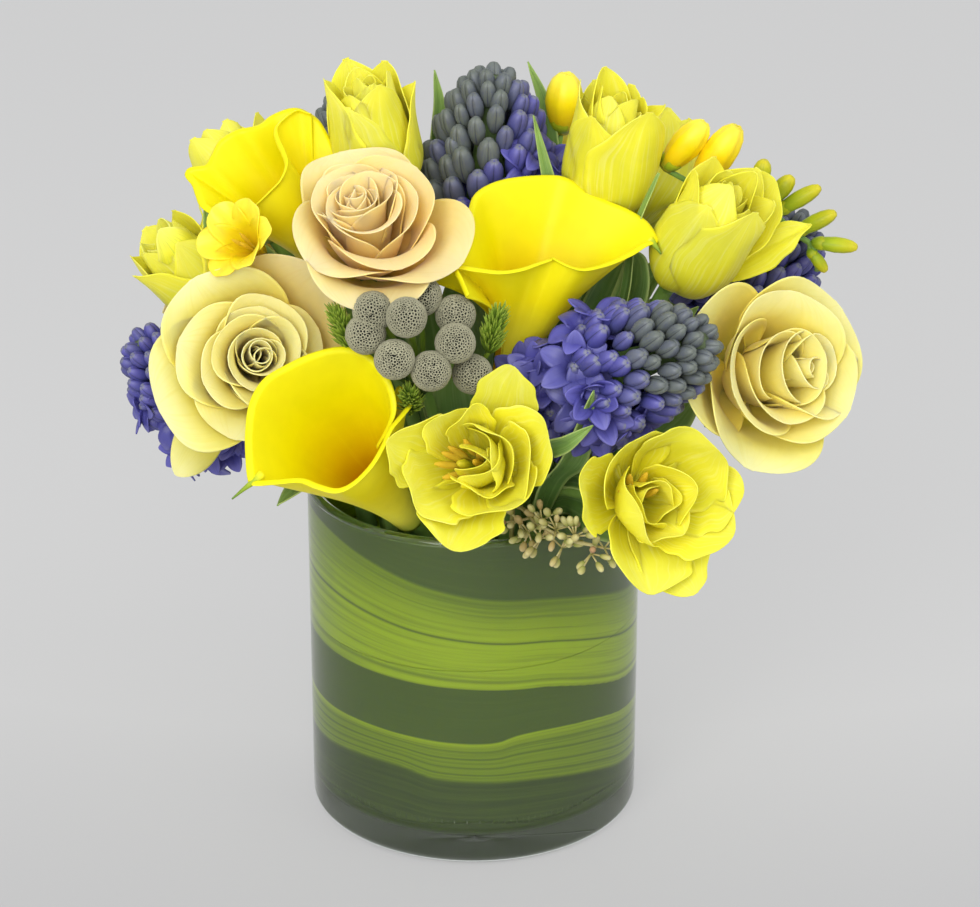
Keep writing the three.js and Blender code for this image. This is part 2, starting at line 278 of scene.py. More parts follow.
@dataclass(frozen=True)
class Tissue:
    """Living plant skin: petal, leaf, stem or bud.

    Each point of a plant mesh carries its growth: how far along the piece it lies, how far across, and a
    tone that differs from petal to petal. Thin skin lets light through, so it gets some subsurface light.
    """

    name: str
    along: tuple[tuple[float, str], ...]  # colours from the base of the piece to its tip
    veins: str  # colour of the fine veins
    vein_share: float = 0.25
    vein_gap: float = 1.2  # mm between veins
    width: float = 40.0  # mm across the piece
    blush: str = ""  # colour that a high tone leans to
    blush_share: float = 0.5
    edge: str = ""  # colour of the two margins
    roughness: float = 0.5
    glow: float = 0.15  # weight of the light that comes through
    depth: float = 2.0  # mm that the light goes
    sheen: float = 0.0
    gloss: float = 0.25  # specular level; half is that of plastic
    relief: float = 0.12  # mm height of the veins
    mottle: float = 0.12  # share of the broad light and dark patches

    def streaks(self, tree: Any, growth: Any) -> Any:
        """Adds long narrow noise cells that run from base to tip: the veins, at their real spacing.

        Args:
            tree: the node tree.
            growth: the sockets of a point's place along, its place across and its tone.

        Returns:
            The noise's socket.
        """
        along, across, tone = growth
        lanes = self.width / self.vein_gap
        lane = add_node(tree, "ShaderNodeMath", {0: across, 1: lanes}, operation="MULTIPLY")
        reach = add_node(tree, "ShaderNodeMath", {0: along, 1: VEIN_CELLS}, operation="MULTIPLY")
        shift = add_node(tree, "ShaderNodeMath", {0: tone, 1: TONE_STEP}, operation="MULTIPLY")
        axes = {0: lane.outputs[0], 1: reach.outputs[0], 2: shift.outputs[0]}
        cell = add_node(tree, "ShaderNodeCombineXYZ", axes)
        noise = {"Vector": cell.outputs[0], "Scale": 1.0, "Detail": 3.0}
        return add_node(tree, "ShaderNodeTexNoise", noise).outputs[0]

    def painted(self, tree: Any, growth: Any, streak: Any) -> Any:
        """Adds the tissue's colours, one over the other.

        Args:
            tree: the node tree.
            growth: the sockets of a point's place along, its place across and its tone.
            streak: the veins' noise.

        Returns:
            The colour's socket.
        """
        along, across, tone = growth
        colour = add_node(tree, "ShaderNodeValToRGB", {0: along}, stops=self.along).outputs[0]
        coats = []
        if self.blush:
            lean = add_node(tree, "ShaderNodeMath", {0: tone, 1: self.blush_share}, operation="MULTIPLY")
            coats.append((lean, self.blush))
        if self.edge:
            offset = add_node(tree, "ShaderNodeMath", {0: across, 1: 0.5}, operation="SUBTRACT")
            away = add_node(tree, "ShaderNodeMath", {0: offset.outputs[0]}, operation="ABSOLUTE")
            start, full = MARGIN_RANGE
            rim = {0: away.outputs[0], 1: start, 2: full, 3: 0.0, 4: MARGIN_SHARE}
            coats.append((add_node(tree, "ShaderNodeMapRange", rim), self.edge))
        start, full = VEIN_RANGE
        thread = {0: streak, 1: start, 2: full, 3: 0.0, 4: self.vein_share}
        coats.append((add_node(tree, "ShaderNodeMapRange", thread), self.veins))
        for share, shade in coats:
            inputs = {0: share.outputs[0], 6: colour, 7: linear(shade)}
            colour = add_node(tree, "ShaderNodeMix", inputs, data_type="RGBA").outputs[2]
        place = add_node(tree, "ShaderNodeNewGeometry")
        noise = {"Vector": place.outputs["Position"], "Scale": CLOUD_SCALE, "Detail": 2.0}
        cloud = add_node(tree, "ShaderNodeTexNoise", noise)
        start, full = CLOUD_RANGE
        patches = {0: cloud.outputs[0], 1: start, 2: full, 3: 1.0 - self.mottle, 4: 1.0 + 0.5 * self.mottle}
        patch = add_node(tree, "ShaderNodeMapRange", patches)
        inputs = {"Value": patch.outputs[0], "Color": colour}
        return add_node(tree, "ShaderNodeHueSaturation", inputs).outputs[0]

    def make(self) -> Any:
        """Returns the material."""
        material, tree, shader = new_material(self.name)
        growth = add_node(tree, "ShaderNodeAttribute", attribute_name="growth")
        parts = add_node(tree, "ShaderNodeSeparateColor", {0: growth.outputs["Color"]})
        streak = self.streaks(tree, parts.outputs)
        colour = self.painted(tree, parts.outputs, streak)
        height = {"Strength": 1.0, "Distance": self.relief * METRE, "Height": streak}
        bump = add_node(tree, "ShaderNodeBump", height)
        tree.links.new(colour, shader.inputs["Base Color"])
        tree.links.new(bump.outputs[0], shader.inputs["Normal"])
        shader.inputs["Roughness"].default_value = self.roughness
        shader.inputs["Subsurface Weight"].default_value = self.glow
        shader.inputs["Subsurface Scale"].default_value = self.depth * METRE
        shader.inputs["Subsurface Radius"].default_value = THROUGH
        shader.inputs["Sheen Weight"].default_value = self.sheen
        shader.inputs["Specular IOR Level"].default_value = self.gloss
        return material


# what both sides of a spathe share, and both roses
SPATHE = {
    "vein_share": 0.2, "vein_gap": 2.0, "width": 120.0, "roughness": 0.42, "glow": 0.3, "depth": 3.0,
    "relief": 0.05, "mottle": 0.04, "gloss": 0.15,
}
VELVET = {
    "vein_share": 0.25, "vein_gap": 1.4, "width": 50.0, "roughness": 0.6, "glow": 0.55, "depth": 5.0,
    "sheen": 0.15, "relief": 0.08, "mottle": 0.06,
}


class Finish(Enum):
    """Each finish of the bouquet, by what the real thing is."""

    # thick waxy spathe: smooth and even, green where it leaves the stem, clear yellow above
    CALLA_OUTSIDE = Tissue(
        "calla_spathe_outside",
        ((0.0, "9db03a"), (0.1, "d9d44a"), (0.3, "ece03a"), (0.7, "ecda0c"), (1.0, "ece118")),
        "f2e63a", **SPATHE,
    )
    # its inner side, painted a deeper gold down the throat: painted shade and painted light reflected from
    # wall to wall there
    CALLA_INSIDE = Tissue(
        "calla_spathe_throat",
        ((0.0, "b07400"), (0.4, "cc9800"), (0.6, "dcc000"), (0.8, "e4d600"), (1.0, "ece118")),
        "ead810", **SPATHE,
    )
    # the dried green point that ends a spathe
    CALLA_TIP = Tissue(
        "calla_tip_green", ((0.0, "f2e820"), (0.3, "a9bb2c"), (1.0, "5c7f2a")), "6f8f2c",
        width=6.0, roughness=0.5,
    )
    # pollen: dull and grainy, a warmer yellow than the spathe
    CALLA_SPADIX = Tissue(
        "calla_spadix_pollen", ((0.0, "e3a60a"), (1.0, "f2b91a")), "c98d08", vein_share=0.5,
        vein_gap=0.8, width=18.0, roughness=0.85, relief=0.3,
    )
    # velvety petal: matte, pale at the rim, amber-gold towards its base, partly the rose's own colour and
    # partly painted shade where petals shade each other
    ROSE_CREAM = Tissue(
        "rose_petal_cream",
        ((0.0, "d8d04c"), (0.3, "ecd040"), (0.7, "f0df6c"), (1.0, "f6efa4")), "edd75a",
        blush="f1da70", **VELVET,
    )
    ROSE_PEACH = Tissue(
        "rose_petal_peach",
        ((0.0, "d8c050"), (0.3, "ecbc50"), (0.7, "f0d07c"), (1.0, "f5dea2")), "ecc474",
        blush="edc078", **VELVET,
    )
    # thin silky petal with lengthwise ribs and pale, nearly green streaks near its base
    TULIP_PETAL = Tissue(
        "tulip_petal_silk",
        ((0.0, "b8c24a"), (0.2, "e6da24"), (0.6, "eee63e"), (1.0, "f2ec58")), "f6f28c",
        vein_share=0.45, vein_gap=1.2, width=44.0, blush="efe31c", edge="f3ec3c", roughness=0.5,
        glow=0.45, depth=4.0, relief=0.15, mottle=0.05,
    )
    TULIP_GREEN = Tissue(
        "tulip_petal_green_streaked",
        ((0.0, "9db23c"), (0.4, "d2d83c"), (0.8, "f2ec3c"), (1.0, "f9f572")), "b4c64a",
        vein_share=0.6, vein_gap=1.8, width=40.0, edge="f8f278", roughness=0.45, glow=0.3,
        depth=3.0, relief=0.2, mottle=0.08,
    )
    # anther and filament, dusty gold
    STAMEN = Tissue(
        "stamen_pollen", ((0.0, "dccf48"), (0.5, "d8c030"), (1.0, "cba628")), "b8901c", width=4.0,
        vein_gap=0.8, roughness=0.8, relief=0.1,
    )
    # fleshy floret: violet below, grey-green with a light tip where it is still a bud
    HYACINTH = Tissue(
        "hyacinth_floret_violet",
        ((0.0, "23264e"), (0.4, "3a397c"), (0.85, "504e9c"), (1.0, "6260ac")), "2e2c6c",
        vein_share=0.5, vein_gap=2.2, width=12.0, blush="646c5c", blush_share=1.0, roughness=0.42,
        glow=0.06, relief=0.1, mottle=0.12, gloss=0.4,
    )
    HYACINTH_BUD = Tissue(
        "hyacinth_bud_slate",
        ((0.0, "25284a"), (0.45, "45478a"), (0.8, "514f98"), (0.95, "5c5aa0"), (1.0, "7a7c88")), "3a3c6c",
        vein_share=0.4, vein_gap=2.2, width=12.0, blush="646b62", blush_share=0.95, edge="24263a",
        roughness=0.45, glow=0.06, relief=0.12, mottle=0.15, gloss=0.4,
    )
    HYACINTH_SCAPE = Tissue(
        "hyacinth_scape_green", ((0.0, "6d9440"), (1.0, "59664a")), "86a45c", width=30.0,
    )
    # glossy thin petal and plump bud, egg-yolk yellow
    FREESIA_PETAL = Tissue(
        "freesia_petal",
        ((0.0, "8fa53a"), (0.2, "e2c010"), (0.6, "f2da10"), (1.0, "f8ea4a")), "f0cc1c",
        vein_share=0.35, vein_gap=1.2, width=16.0, blush="f0bc1c", roughness=0.4, glow=0.2,
        relief=0.1,
    )
    FREESIA_BUD = Tissue(
        "freesia_bud_green",
        ((0.0, "6f9028"), (0.4, "9cae1e"), (0.8, "b4b418"), (1.0, "d0c42c")), "6a8020",
        vein_share=0.3, vein_gap=1.6, width=12.0, roughness=0.45,
    )
    # fresh cut stem: smooth green skin
    STEM = Tissue(
        "cut_stem_green", ((0.0, "7f9a4e"), (1.0, "6d9440")), "88a85a", width=12.0, roughness=0.5,
    )
    # leaf with parallel veins, waxy bloom and a paler margin
    LEAF = Tissue(
        "tulip_leaf_green", ((0.0, "4f7030"), (0.6, "628542"), (1.0, "86a552")), "93ad6c",
        vein_share=0.45, vein_gap=1.0, width=15.0, edge="b9cc7c", roughness=0.42, glow=0.1,
        relief=0.15,
    )
    SEPAL = Tissue(
        "rose_sepal_green", ((0.0, "587a30"), (1.0, "8ea05c")), "a3ae78", width=10.0, roughness=0.6,
    )
    # needle leaves, soft and matte
    NEEDLE = Tissue(
        "brunia_needle_green", ((0.0, "3f5a1c"), (0.6, "6d8a26"), (1.0, "93a83c")), "55731f",
        width=2.0, roughness=0.6,
    )
    # wool in small cells: pale beige on their rims, with painted shade, dark to near-black, in their pits
    # and between the cells
    BRUNIA = Tissue(
        "brunia_wool_grey",
        ((0.0, "0e0f0a"), (0.35, "34352a"), (0.62, "85846c"), (1.0, "b4b197")), "86866c",
        vein_share=0.2, width=3.0, roughness=0.9, glow=0.0, relief=0.05, mottle=0.15,
    )
    # dry seed bud, olive and tan, some of them reddish
    SEED = Tissue(
        "eucalyptus_seed_bud", ((0.0, "8f9848"), (0.5, "b9b472"), (1.0, "d6d096")), "9c9c58",
        width=5.0, blush="b0705c", blush_share=0.8, roughness=0.65, relief=0.1,
    )


@dataclass(frozen=True)
class BlownGlass:
    """Clear blown soda glass: smooth, colourless when thin and faintly green through its thick foot."""

    name: str = "blown_soda_glass"
    tint: str = "f5f9f5"
    index: float = 1.5
    roughness: float = 0.0
    # slow waves that a blown wall keeps, about 60 mm apart and less than a tenth of a mm deep
    wave_scale: float = 16.0  # for each metre
    wave_depth: float = 0.3
    wave_share: float = 0.3

    def make(self) -> Any:
        """Returns the material."""
        material, tree, shader = new_material(self.name)
        shader.inputs["Base Color"].default_value = linear(self.tint)
        shader.inputs["Roughness"].default_value = self.roughness
        shader.inputs["IOR"].default_value = self.index
        shader.inputs["Transmission Weight"].default_value = 1.0
        place = add_node(tree, "ShaderNodeNewGeometry")
        noise = {"Vector": place.outputs["Position"], "Scale": self.wave_scale}
        wave = add_node(tree, "ShaderNodeTexNoise", noise)
        height = {
            "Strength": self.wave_share, "Distance": self.wave_depth * METRE, "Height": wave.outputs[0],
        }
        bump = add_node(tree, "ShaderNodeBump", height)
        tree.links.new(bump.outputs[0], shader.inputs["Normal"])
        return material


@dataclass(frozen=True)
class StrapLeaf:
    """A broad striped leaf, wet and satin, with fine lines along its length.

    The growth's first value runs up the leaf's bands: dark, striped light, dark, bright, dark.
    """

    name: str = "striped_strap_leaf"
    dark: str = "3f5410"
    middle: str = "526a12"
    light: str = "8ca60c"
    bright: str = "b4ce10"
    line: str = "5c7414"
    line_gap: float = 1.1  # mm between the fine lines
    tall: float = 200.0  # mm that the growth's first value is taken to span
    line_range: Pair = (0.45, 0.68)  # noise at which a fine line begins and is full
    line_share: float = 0.5
    relief: float = 0.05  # mm height of the fine lines
    roughness: float = 0.35
    glow: float = 0.05  # weight of the light that comes through
    depth: float = 1.0  # mm that the light goes

    def make(self) -> Any:
        """Returns the material."""
        material, tree, shader = new_material(self.name)
        growth = add_node(tree, "ShaderNodeAttribute", attribute_name="growth")
        parts = add_node(tree, "ShaderNodeSeparateColor", {0: growth.outputs["Color"]})
        band, turn, _ = parts.outputs
        bands = add_node(
            tree, "ShaderNodeValToRGB", {0: band},
            stops=(
                (0.0, self.dark), (0.193, self.dark), (0.203, self.light), (0.226, self.light),
                (0.231, self.line), (0.238, self.light), (0.262, self.light), (0.268, self.line),
                (0.275, self.light), (0.31, self.light), (0.316, self.line), (0.322, self.light),
                (0.352, self.light), (0.357, self.line), (0.361, self.light), (0.397, self.bright),
                (0.402, self.middle), (0.594, self.middle), (0.599, self.bright), (0.612, self.bright),
                (0.615, self.line), (0.62, self.bright), (0.699, self.bright), (0.703, self.line),
                (0.708, self.bright), (0.797, self.light), (0.803, self.middle), (1.0, self.middle),
            ),
        )
        lines = self.tall / self.line_gap
        up = add_node(tree, "ShaderNodeMath", {0: band, 1: lines}, operation="MULTIPLY")
        cell = add_node(tree, "ShaderNodeCombineXYZ", {0: turn, 1: up.outputs[0]})
        noise = {"Vector": cell.outputs[0], "Scale": 0.5, "Detail": 3.0, "Roughness": 0.7}
        fine = add_node(tree, "ShaderNodeTexNoise", noise)
        start, full = self.line_range
        share = {0: fine.outputs[0], 1: start, 2: full, 3: 0.0, 4: self.line_share}
        line = add_node(tree, "ShaderNodeMapRange", share)
        coats = {0: line.outputs[0], 6: bands.outputs[0], 7: linear(self.line)}
        lined = add_node(tree, "ShaderNodeMix", coats, data_type="RGBA")
        height = {"Strength": 0.15, "Distance": self.relief * METRE, "Height": fine.outputs[0]}
        bump = add_node(tree, "ShaderNodeBump", height)
        tree.links.new(lined.outputs[2], shader.inputs["Base Color"])
        tree.links.new(bump.outputs[0], shader.inputs["Normal"])
        shader.inputs["Roughness"].default_value = self.roughness
        shader.inputs["Subsurface Weight"].default_value = self.glow
        shader.inputs["Subsurface Scale"].default_value = self.depth * METRE
        return material


# -------- meshes


SLANT = (0.31, 0.27, 0.91)  # a direction that no stem or rod runs in


def stacked(rows: int, sides: int) -> tuple[np.ndarray, np.ndarray, np.ndarray]:
    """Joins rings of points that stand one on the other.

    Args:
        rows: how many rings there are.
        sides: how many points each one has.

    Returns:
        Each point's number, the number of the next one in its ring, and the faces between the rings.
    """
    at = np.arange(rows * sides).reshape(rows, sides)
    after = np.roll(at, -1, axis=1)
    return at, after, np.stack([at[:-1], after[:-1], after[1:], at[1:]], -1).reshape(-1, 4)


def fans(at: np.ndarray, after: np.ndarray) -> tuple[np.ndarray, np.ndarray]:
    """Returns the triangles that close the first and last ring, round two points that follow the rings."""
    low = np.stack([after[0], at[0], np.full_like(at[0], at.size)], -1)
    return low, np.stack([at[-1], after[-1], np.full_like(at[0], at.size + 1)], -1)


@dataclass
class Shape:
    """The faces of one piece, gathered part by part, each point with its growth and each face its finish."""

    name: str
    node: str  # the plain solid that this piece stands for
    slot: str
    finishes: list[Any] = field(default_factory=list)
    points: list[np.ndarray] = field(default_factory=list)
    marks: list[np.ndarray] = field(default_factory=list)
    faces: list[np.ndarray] = field(default_factory=list)
    kinds: list[np.ndarray] = field(default_factory=list)
    count: int = 0

    def part(self, points: np.ndarray, faces: tuple, marks: np.ndarray, finish: Any) -> None:
        """Adds one closed part.

        Args:
            points: its points, one row each.
            faces: its faces, in arrays; a row's point numbers run anticlockwise seen from outside.
            marks: its growth, one row of along, across and tone for each point.
            finish: what it is made of.
        """
        if finish not in self.finishes:
            self.finishes.append(finish)
        self.points.append(points)
        self.marks.append(marks)
        for rows in faces:
            self.faces.append(rows + self.count)
            self.kinds.append(np.full(len(rows), self.finishes.index(finish)))
        self.count += len(points)

    def sheet(
        self, grid: np.ndarray, thick: Any, finish: Any, tone: float, along: Any = None, back: Any = None
    ) -> None:
        """Adds a thin closed skin around a grid of points, such as a petal.

        Args:
            grid: rows across, columns along, and the three coordinates.
            thick: its thickness, one value or one for each grid point.
            finish: what it is made of.
            tone: the petal's own tone, 0 to 1.
            along: how far along each column lies, evenly spaced if not given.
            back: what its other side is made of, if not the same.
        """
        n, m = grid.shape[:2]
        normal = unit(np.cross(np.gradient(grid, axis=0), np.gradient(grid, axis=1)))
        half = np.broadcast_to(np.asarray(thick, float) / 2.0, (n, m))[..., None]
        skins = (grid + normal * half).reshape(-1, 3), (grid - normal * half).reshape(-1, 3)
        v = np.linspace(0.0, 1.0, m) if along is None else along
        u = np.linspace(0.0, 1.0, n)
        marks = np.stack(
            [np.broadcast_to(v, (n, m)), np.broadcast_to(u[:, None], (n, m)), np.full((n, m), tone)], -1
        ).reshape(-1, 3)
        at = np.arange(n * m).reshape(n, m)
        front = np.stack([at[:-1, :-1], at[1:, :-1], at[1:, 1:], at[:-1, 1:]], -1).reshape(-1, 4)
        rear = front[:, ::-1] + n * m
        loop = np.concatenate([at[:, 0], at[-1, 1:], at[-2::-1, -1], at[0, -2:0:-1]])
        after = np.roll(loop, -1)
        rim = np.stack([after, loop, loop + n * m, after + n * m], -1)
        faces = np.concatenate([front, rear, rim])
        self.part(np.concatenate(skins), (faces,), np.concatenate([marks, marks]), finish)
        if back is not None:
            if back not in self.finishes:
                self.finishes.append(back)
            self.kinds[-1][len(front) : 2 * len(front)] = self.finishes.index(back)

    def tube(self, path: np.ndarray, radii: Any, finish: Any, tone: float = 0.5, sides: int = 12) -> None:
        """Adds a closed round rod along a path.

        Args:
            path: the points of its middle line.
            radii: its radius, one value or one for each point.
            finish: what it is made of.
            tone: its tone.
            sides: how many sides it has.
        """
        m = len(path)
        along = unit(np.gradient(path, axis=0))
        side = unit(np.cross(along, SLANT))
        other = np.cross(along, side)
        turn = np.linspace(0.0, CIRCLE, sides, endpoint=False)
        radius = np.broadcast_to(np.asarray(radii, float), (m,))[:, None, None]
        ring = side[:, None] * np.cos(turn)[None, :, None] + other[:, None] * np.sin(turn)[None, :, None]
        points = (path[:, None] + ring * radius).reshape(-1, 3)
        at, after, wall = stacked(m, sides)
        v = np.repeat(np.linspace(0.0, 1.0, m), sides)
        u = np.tile(np.abs(np.linspace(-1.0, 1.0, sides)), m)
        marks = np.stack([v, u, np.full(m * sides, tone)], -1)
        marks = np.concatenate([marks, [[0.0, 0.5, tone], [1.0, 0.5, tone]]])
        points = np.concatenate([points, path[:1], path[-1:]])
        self.part(points, (wall, *fans(at, after)), marks, finish)

    def build(self, materials: Looks) -> None:
        """Makes the mesh, in metres, in place of its plain solid.

        Args:
            materials: each finish's material.
        """
        mesh = bpy.data.meshes.new(self.name)
        points = np.concatenate(self.points) * METRE
        corners = np.concatenate([f.ravel() for f in self.faces])
        sizes = np.concatenate([np.full(len(f), f.shape[1]) for f in self.faces])
        mesh.vertices.add(len(points))
        mesh.vertices.foreach_set("co", points.ravel())
        mesh.loops.add(len(corners))
        mesh.loops.foreach_set("vertex_index", corners.astype(np.int32))
        mesh.polygons.add(len(sizes))
        mesh.polygons.foreach_set("loop_start", (np.cumsum(sizes) - sizes).astype(np.int32))
        mesh.polygons.foreach_set("material_index", np.concatenate(self.kinds).astype(np.int32))
        marks = np.concatenate(self.marks)
        growth = mesh.attributes.new("growth", "FLOAT_COLOR", "POINT")
        growth.data.foreach_set("color", np.hstack([marks, np.ones((len(marks), 1))]).ravel())
        mesh.update(calc_edges=True)
        mesh.shade_smooth()
        for finish in self.finishes:
            mesh.materials.append(materials[finish])
        piece = bpy.data.objects.new(self.name, mesh)
        bpy.context.scene.collection.objects.link(piece)
        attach(piece, BODY)
        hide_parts(self.node)
        LOG.info("%s: %d faces", self.name, len(sizes))


@dataclass(frozen=True)
class Petal:
    """One petal in its flower's own axes: its size, how it leaves the flower and how it bends."""

    length: float = 50.0  # base to tip
    width: float = 20.0  # half of it, at the widest
    start: float = 3.0  # distance of its base from the flower's axis
    foot: float = 0.0  # height of its base
    lift: float = 30.0  # degrees above the flower's plane at its base
    rise: float = 80.0  # and halfway up
    roll: float = 0.0  # degrees that its end turns outward again
    roll_from: float = 0.65  # where that begins
    cup: float = 1.0  # 1 bends round the flower's axis, 0 is flat across
    broad: float = 0.55  # where it is widest
    point: float = 0.0  # 0 has a round end, 1 a pointed one
    waist: float = 0.2  # width of its base, as a share of the widest
    ruffle: float = 0.0  # mm height of the waves along its margins
    waves: float = 3.0
    twist: float = 0.0  # mm that one margin lies further out than the other
    flare: float = 0.0  # mm that the side margins bend outward near the top
    ragged: float = 0.0  # how uneven its margins are near the end, as a share of its width
    crease: float = 0.0  # mm depth of the fold along its middle
    thick: float = 0.4

    def grid(self, turn: float, phase: float, n: int, m: int) -> tuple[np.ndarray, np.ndarray]:
        """Works out the petal's surface.

        Args:
            turn: its place round the flower, in radians.
            phase: where its waves begin, in radians.
            n: how many points across.
            m: how many points along.

        Returns:
            The grid of points, across then along, and how far along each column lies.
        """
        v = 1.0 - (1.0 - np.linspace(0.0, 1.0, m)) ** 1.5  # closer together near the tip
        u = np.linspace(-1.0, 1.0, n)[:, None]
        # the middle line, which rises to half of its length and turns out again at its end
        angle = mix(self.lift, self.rise, smooth(v / 0.55))
        angle = np.radians(angle - self.roll * smooth((v - self.roll_from) / (1.0 - self.roll_from)))
        step = np.diff(v, prepend=0.0) * self.length
        r = self.start + np.cumsum(np.cos(angle) * step)
        z = self.foot + np.cumsum(np.sin(angle) * step)
        # the outline: half of the width below and above the widest place
        low = self.waist + (1.0 - self.waist) * np.sin(0.5 * math.pi * np.clip(v / self.broad, 0, 1)) ** 0.8
        x = np.clip((v - self.broad) / (1.0 - self.broad), 0.0, 1.0)
        high = np.maximum(1.0 - x ** mix(2.4, 1.5, self.point), 0.0) ** mix(0.5, 0.85, self.point)
        half = self.width * np.maximum(np.where(v < self.broad, low, high), 0.07)
        uneven = np.sin(8.0 * math.pi * v + 2.0 * phase + 1.7 * np.sign(u)) * smooth((v - 0.4) / 0.3)
        half = half * (1.0 + self.ragged * uneven)
        # the bend across, round the flower's axis
        round_by = np.maximum(r, 4.0) / max(self.cup, 1e-3)
        bend = u * half / round_by
        side = u * half / self.width
        inward = round_by * (1.0 - np.cos(bend))
        sideways = round_by * np.sin(bend)
        # waves along the margins and across the end, the flare and the crease
        margin = np.sin(self.waves * math.pi * v + phase + 2.0 * side)
        wave = self.ruffle * v**1.5 * np.abs(side) ** 1.5 * margin
        end = smooth((v - 0.55) / 0.4)
        wave = wave + self.ruffle * 0.6 * end * np.sin(self.waves * 2.2 * side + phase)
        inward = inward - self.flare * np.abs(side) ** 3 * smooth((v - 0.25) / 0.6)
        inward = inward + wave - self.crease * np.exp(-((u / 0.18) ** 2)) * np.sin(math.pi * v)
        radial = r - np.sin(angle) * inward + self.twist * side * smooth(v / 0.4)
        height = z + np.cos(angle) * inward
        radial, height, sideways = np.broadcast_arrays(radial, height, sideways)
        c, s = math.cos(turn), math.sin(turn)
        grid = np.stack([radial * c - sideways * s, radial * s + sideways * c, height], -1)
        return grid, v


BUD_OUTLINE = (  # half of a bud's width and how far up it lies, as shares
    (0.3, 0.0), (0.6, 0.1), (0.86, 0.3), (1.0, 0.52), (0.94, 0.72), (0.74, 0.88), (0.42, 0.98), (0.16, 1.0),
)


def capsule(length: float, half: float, grooves: int = 3, depth: float = 0.1, sides: int = 12) -> Any:
    """Makes the pattern of a plump bud that stands on the origin and points along +Z.

    Args:
        length: base to tip.
        half: half of its width.
        grooves: how many seams run down it.
        depth: how deep they are, as a share of its width.
        sides: how many sides it has.

    Returns:
        Its points, its faces and its growth, with the tone left at 0.
    """
    profile = np.array(BUD_OUTLINE)
    turn = np.linspace(0.0, CIRCLE, sides, endpoint=False)
    seam = 1.0 - depth * np.exp(-((np.cos(turn * grooves / 2.0) / 0.35) ** 2))
    m = len(profile)
    r = profile[:, :1] * half * (1.0 - (1.0 - seam)[None] * np.linspace(0.3, 1.6, m)[:, None])
    z = np.broadcast_to(profile[:, 1:] * length, r.shape)
    points = np.stack([r * np.cos(turn), r * np.sin(turn), z], -1).reshape(-1, 3)
    points = np.vstack([points, [0.0, 0.0, 0.0], [0.0, 0.0, length * 0.97]])
    at, after, wall = stacked(m, sides)
    v = np.concatenate([np.repeat(profile[:, 1], sides), [0.0, 0.9]])
    seam = 0.5 + 0.5 * (1.0 - np.abs(np.cos(turn * grooves / 2.0))) ** 2
    u = np.concatenate([np.tile(seam, m), [0.5, 0.5]])
    return points, (wall, *fans(at, after)), np.stack([v, u, np.zeros_like(v)], -1)


def stamp(shape: Shape, pattern: Any, place: np.ndarray, finish: Any, tone: float) -> None:
    """Adds one copy of a pattern to a shape.

    Args:
        shape: the piece it goes into.
        pattern: its points, its arrays of faces and its growth.
        place: the 4x4 matrix that moves it there.
        finish: what it is made of.
        tone: its tone.
    """
    points, faces, marks = pattern
    marks = marks.copy()
    marks[:, 2] = tone
    shape.part(moved(points, place), faces, marks, finish)


BLADE_THICK = 0.5
BLADE_TONE = 0.4
BLADE_FOLD = 0.35  # depth of the fold along its middle, as a share of half of its width


def blade(shape: Shape, path: Any, width: float, out: Vec) -> None:
    """Adds a strap-shaped leaf, folded along its middle.

    Args:
        shape: the piece it goes into.
        path: a few points of its middle line.
        width: its widest.
        out: the way its face looks.
    """
    m, n = 40, 11
    spine = curve(path, m)
    t = np.linspace(0.0, 1.0, m)
    along = unit(np.gradient(spine, axis=0))
    across = unit(np.cross(along, out))
    up = np.cross(across, along)
    half = width / 2 * np.maximum(np.sin(math.pi * (0.12 + 0.87 * t)) ** 0.8, 0.06)
    u = np.linspace(-1.0, 1.0, n)[:, None]
    lean = BLADE_FOLD * half * (np.abs(u) - 0.5) + 0.5 * np.sin(9 * t + 2 * u) * np.abs(u)
    grid = spine[None] + across[None] * (u * half)[..., None] + up[None] * lean[..., None]
    shape.sheet(grid, BLADE_THICK, Finish.LEAF, BLADE_TONE)


# -------- vase and liner


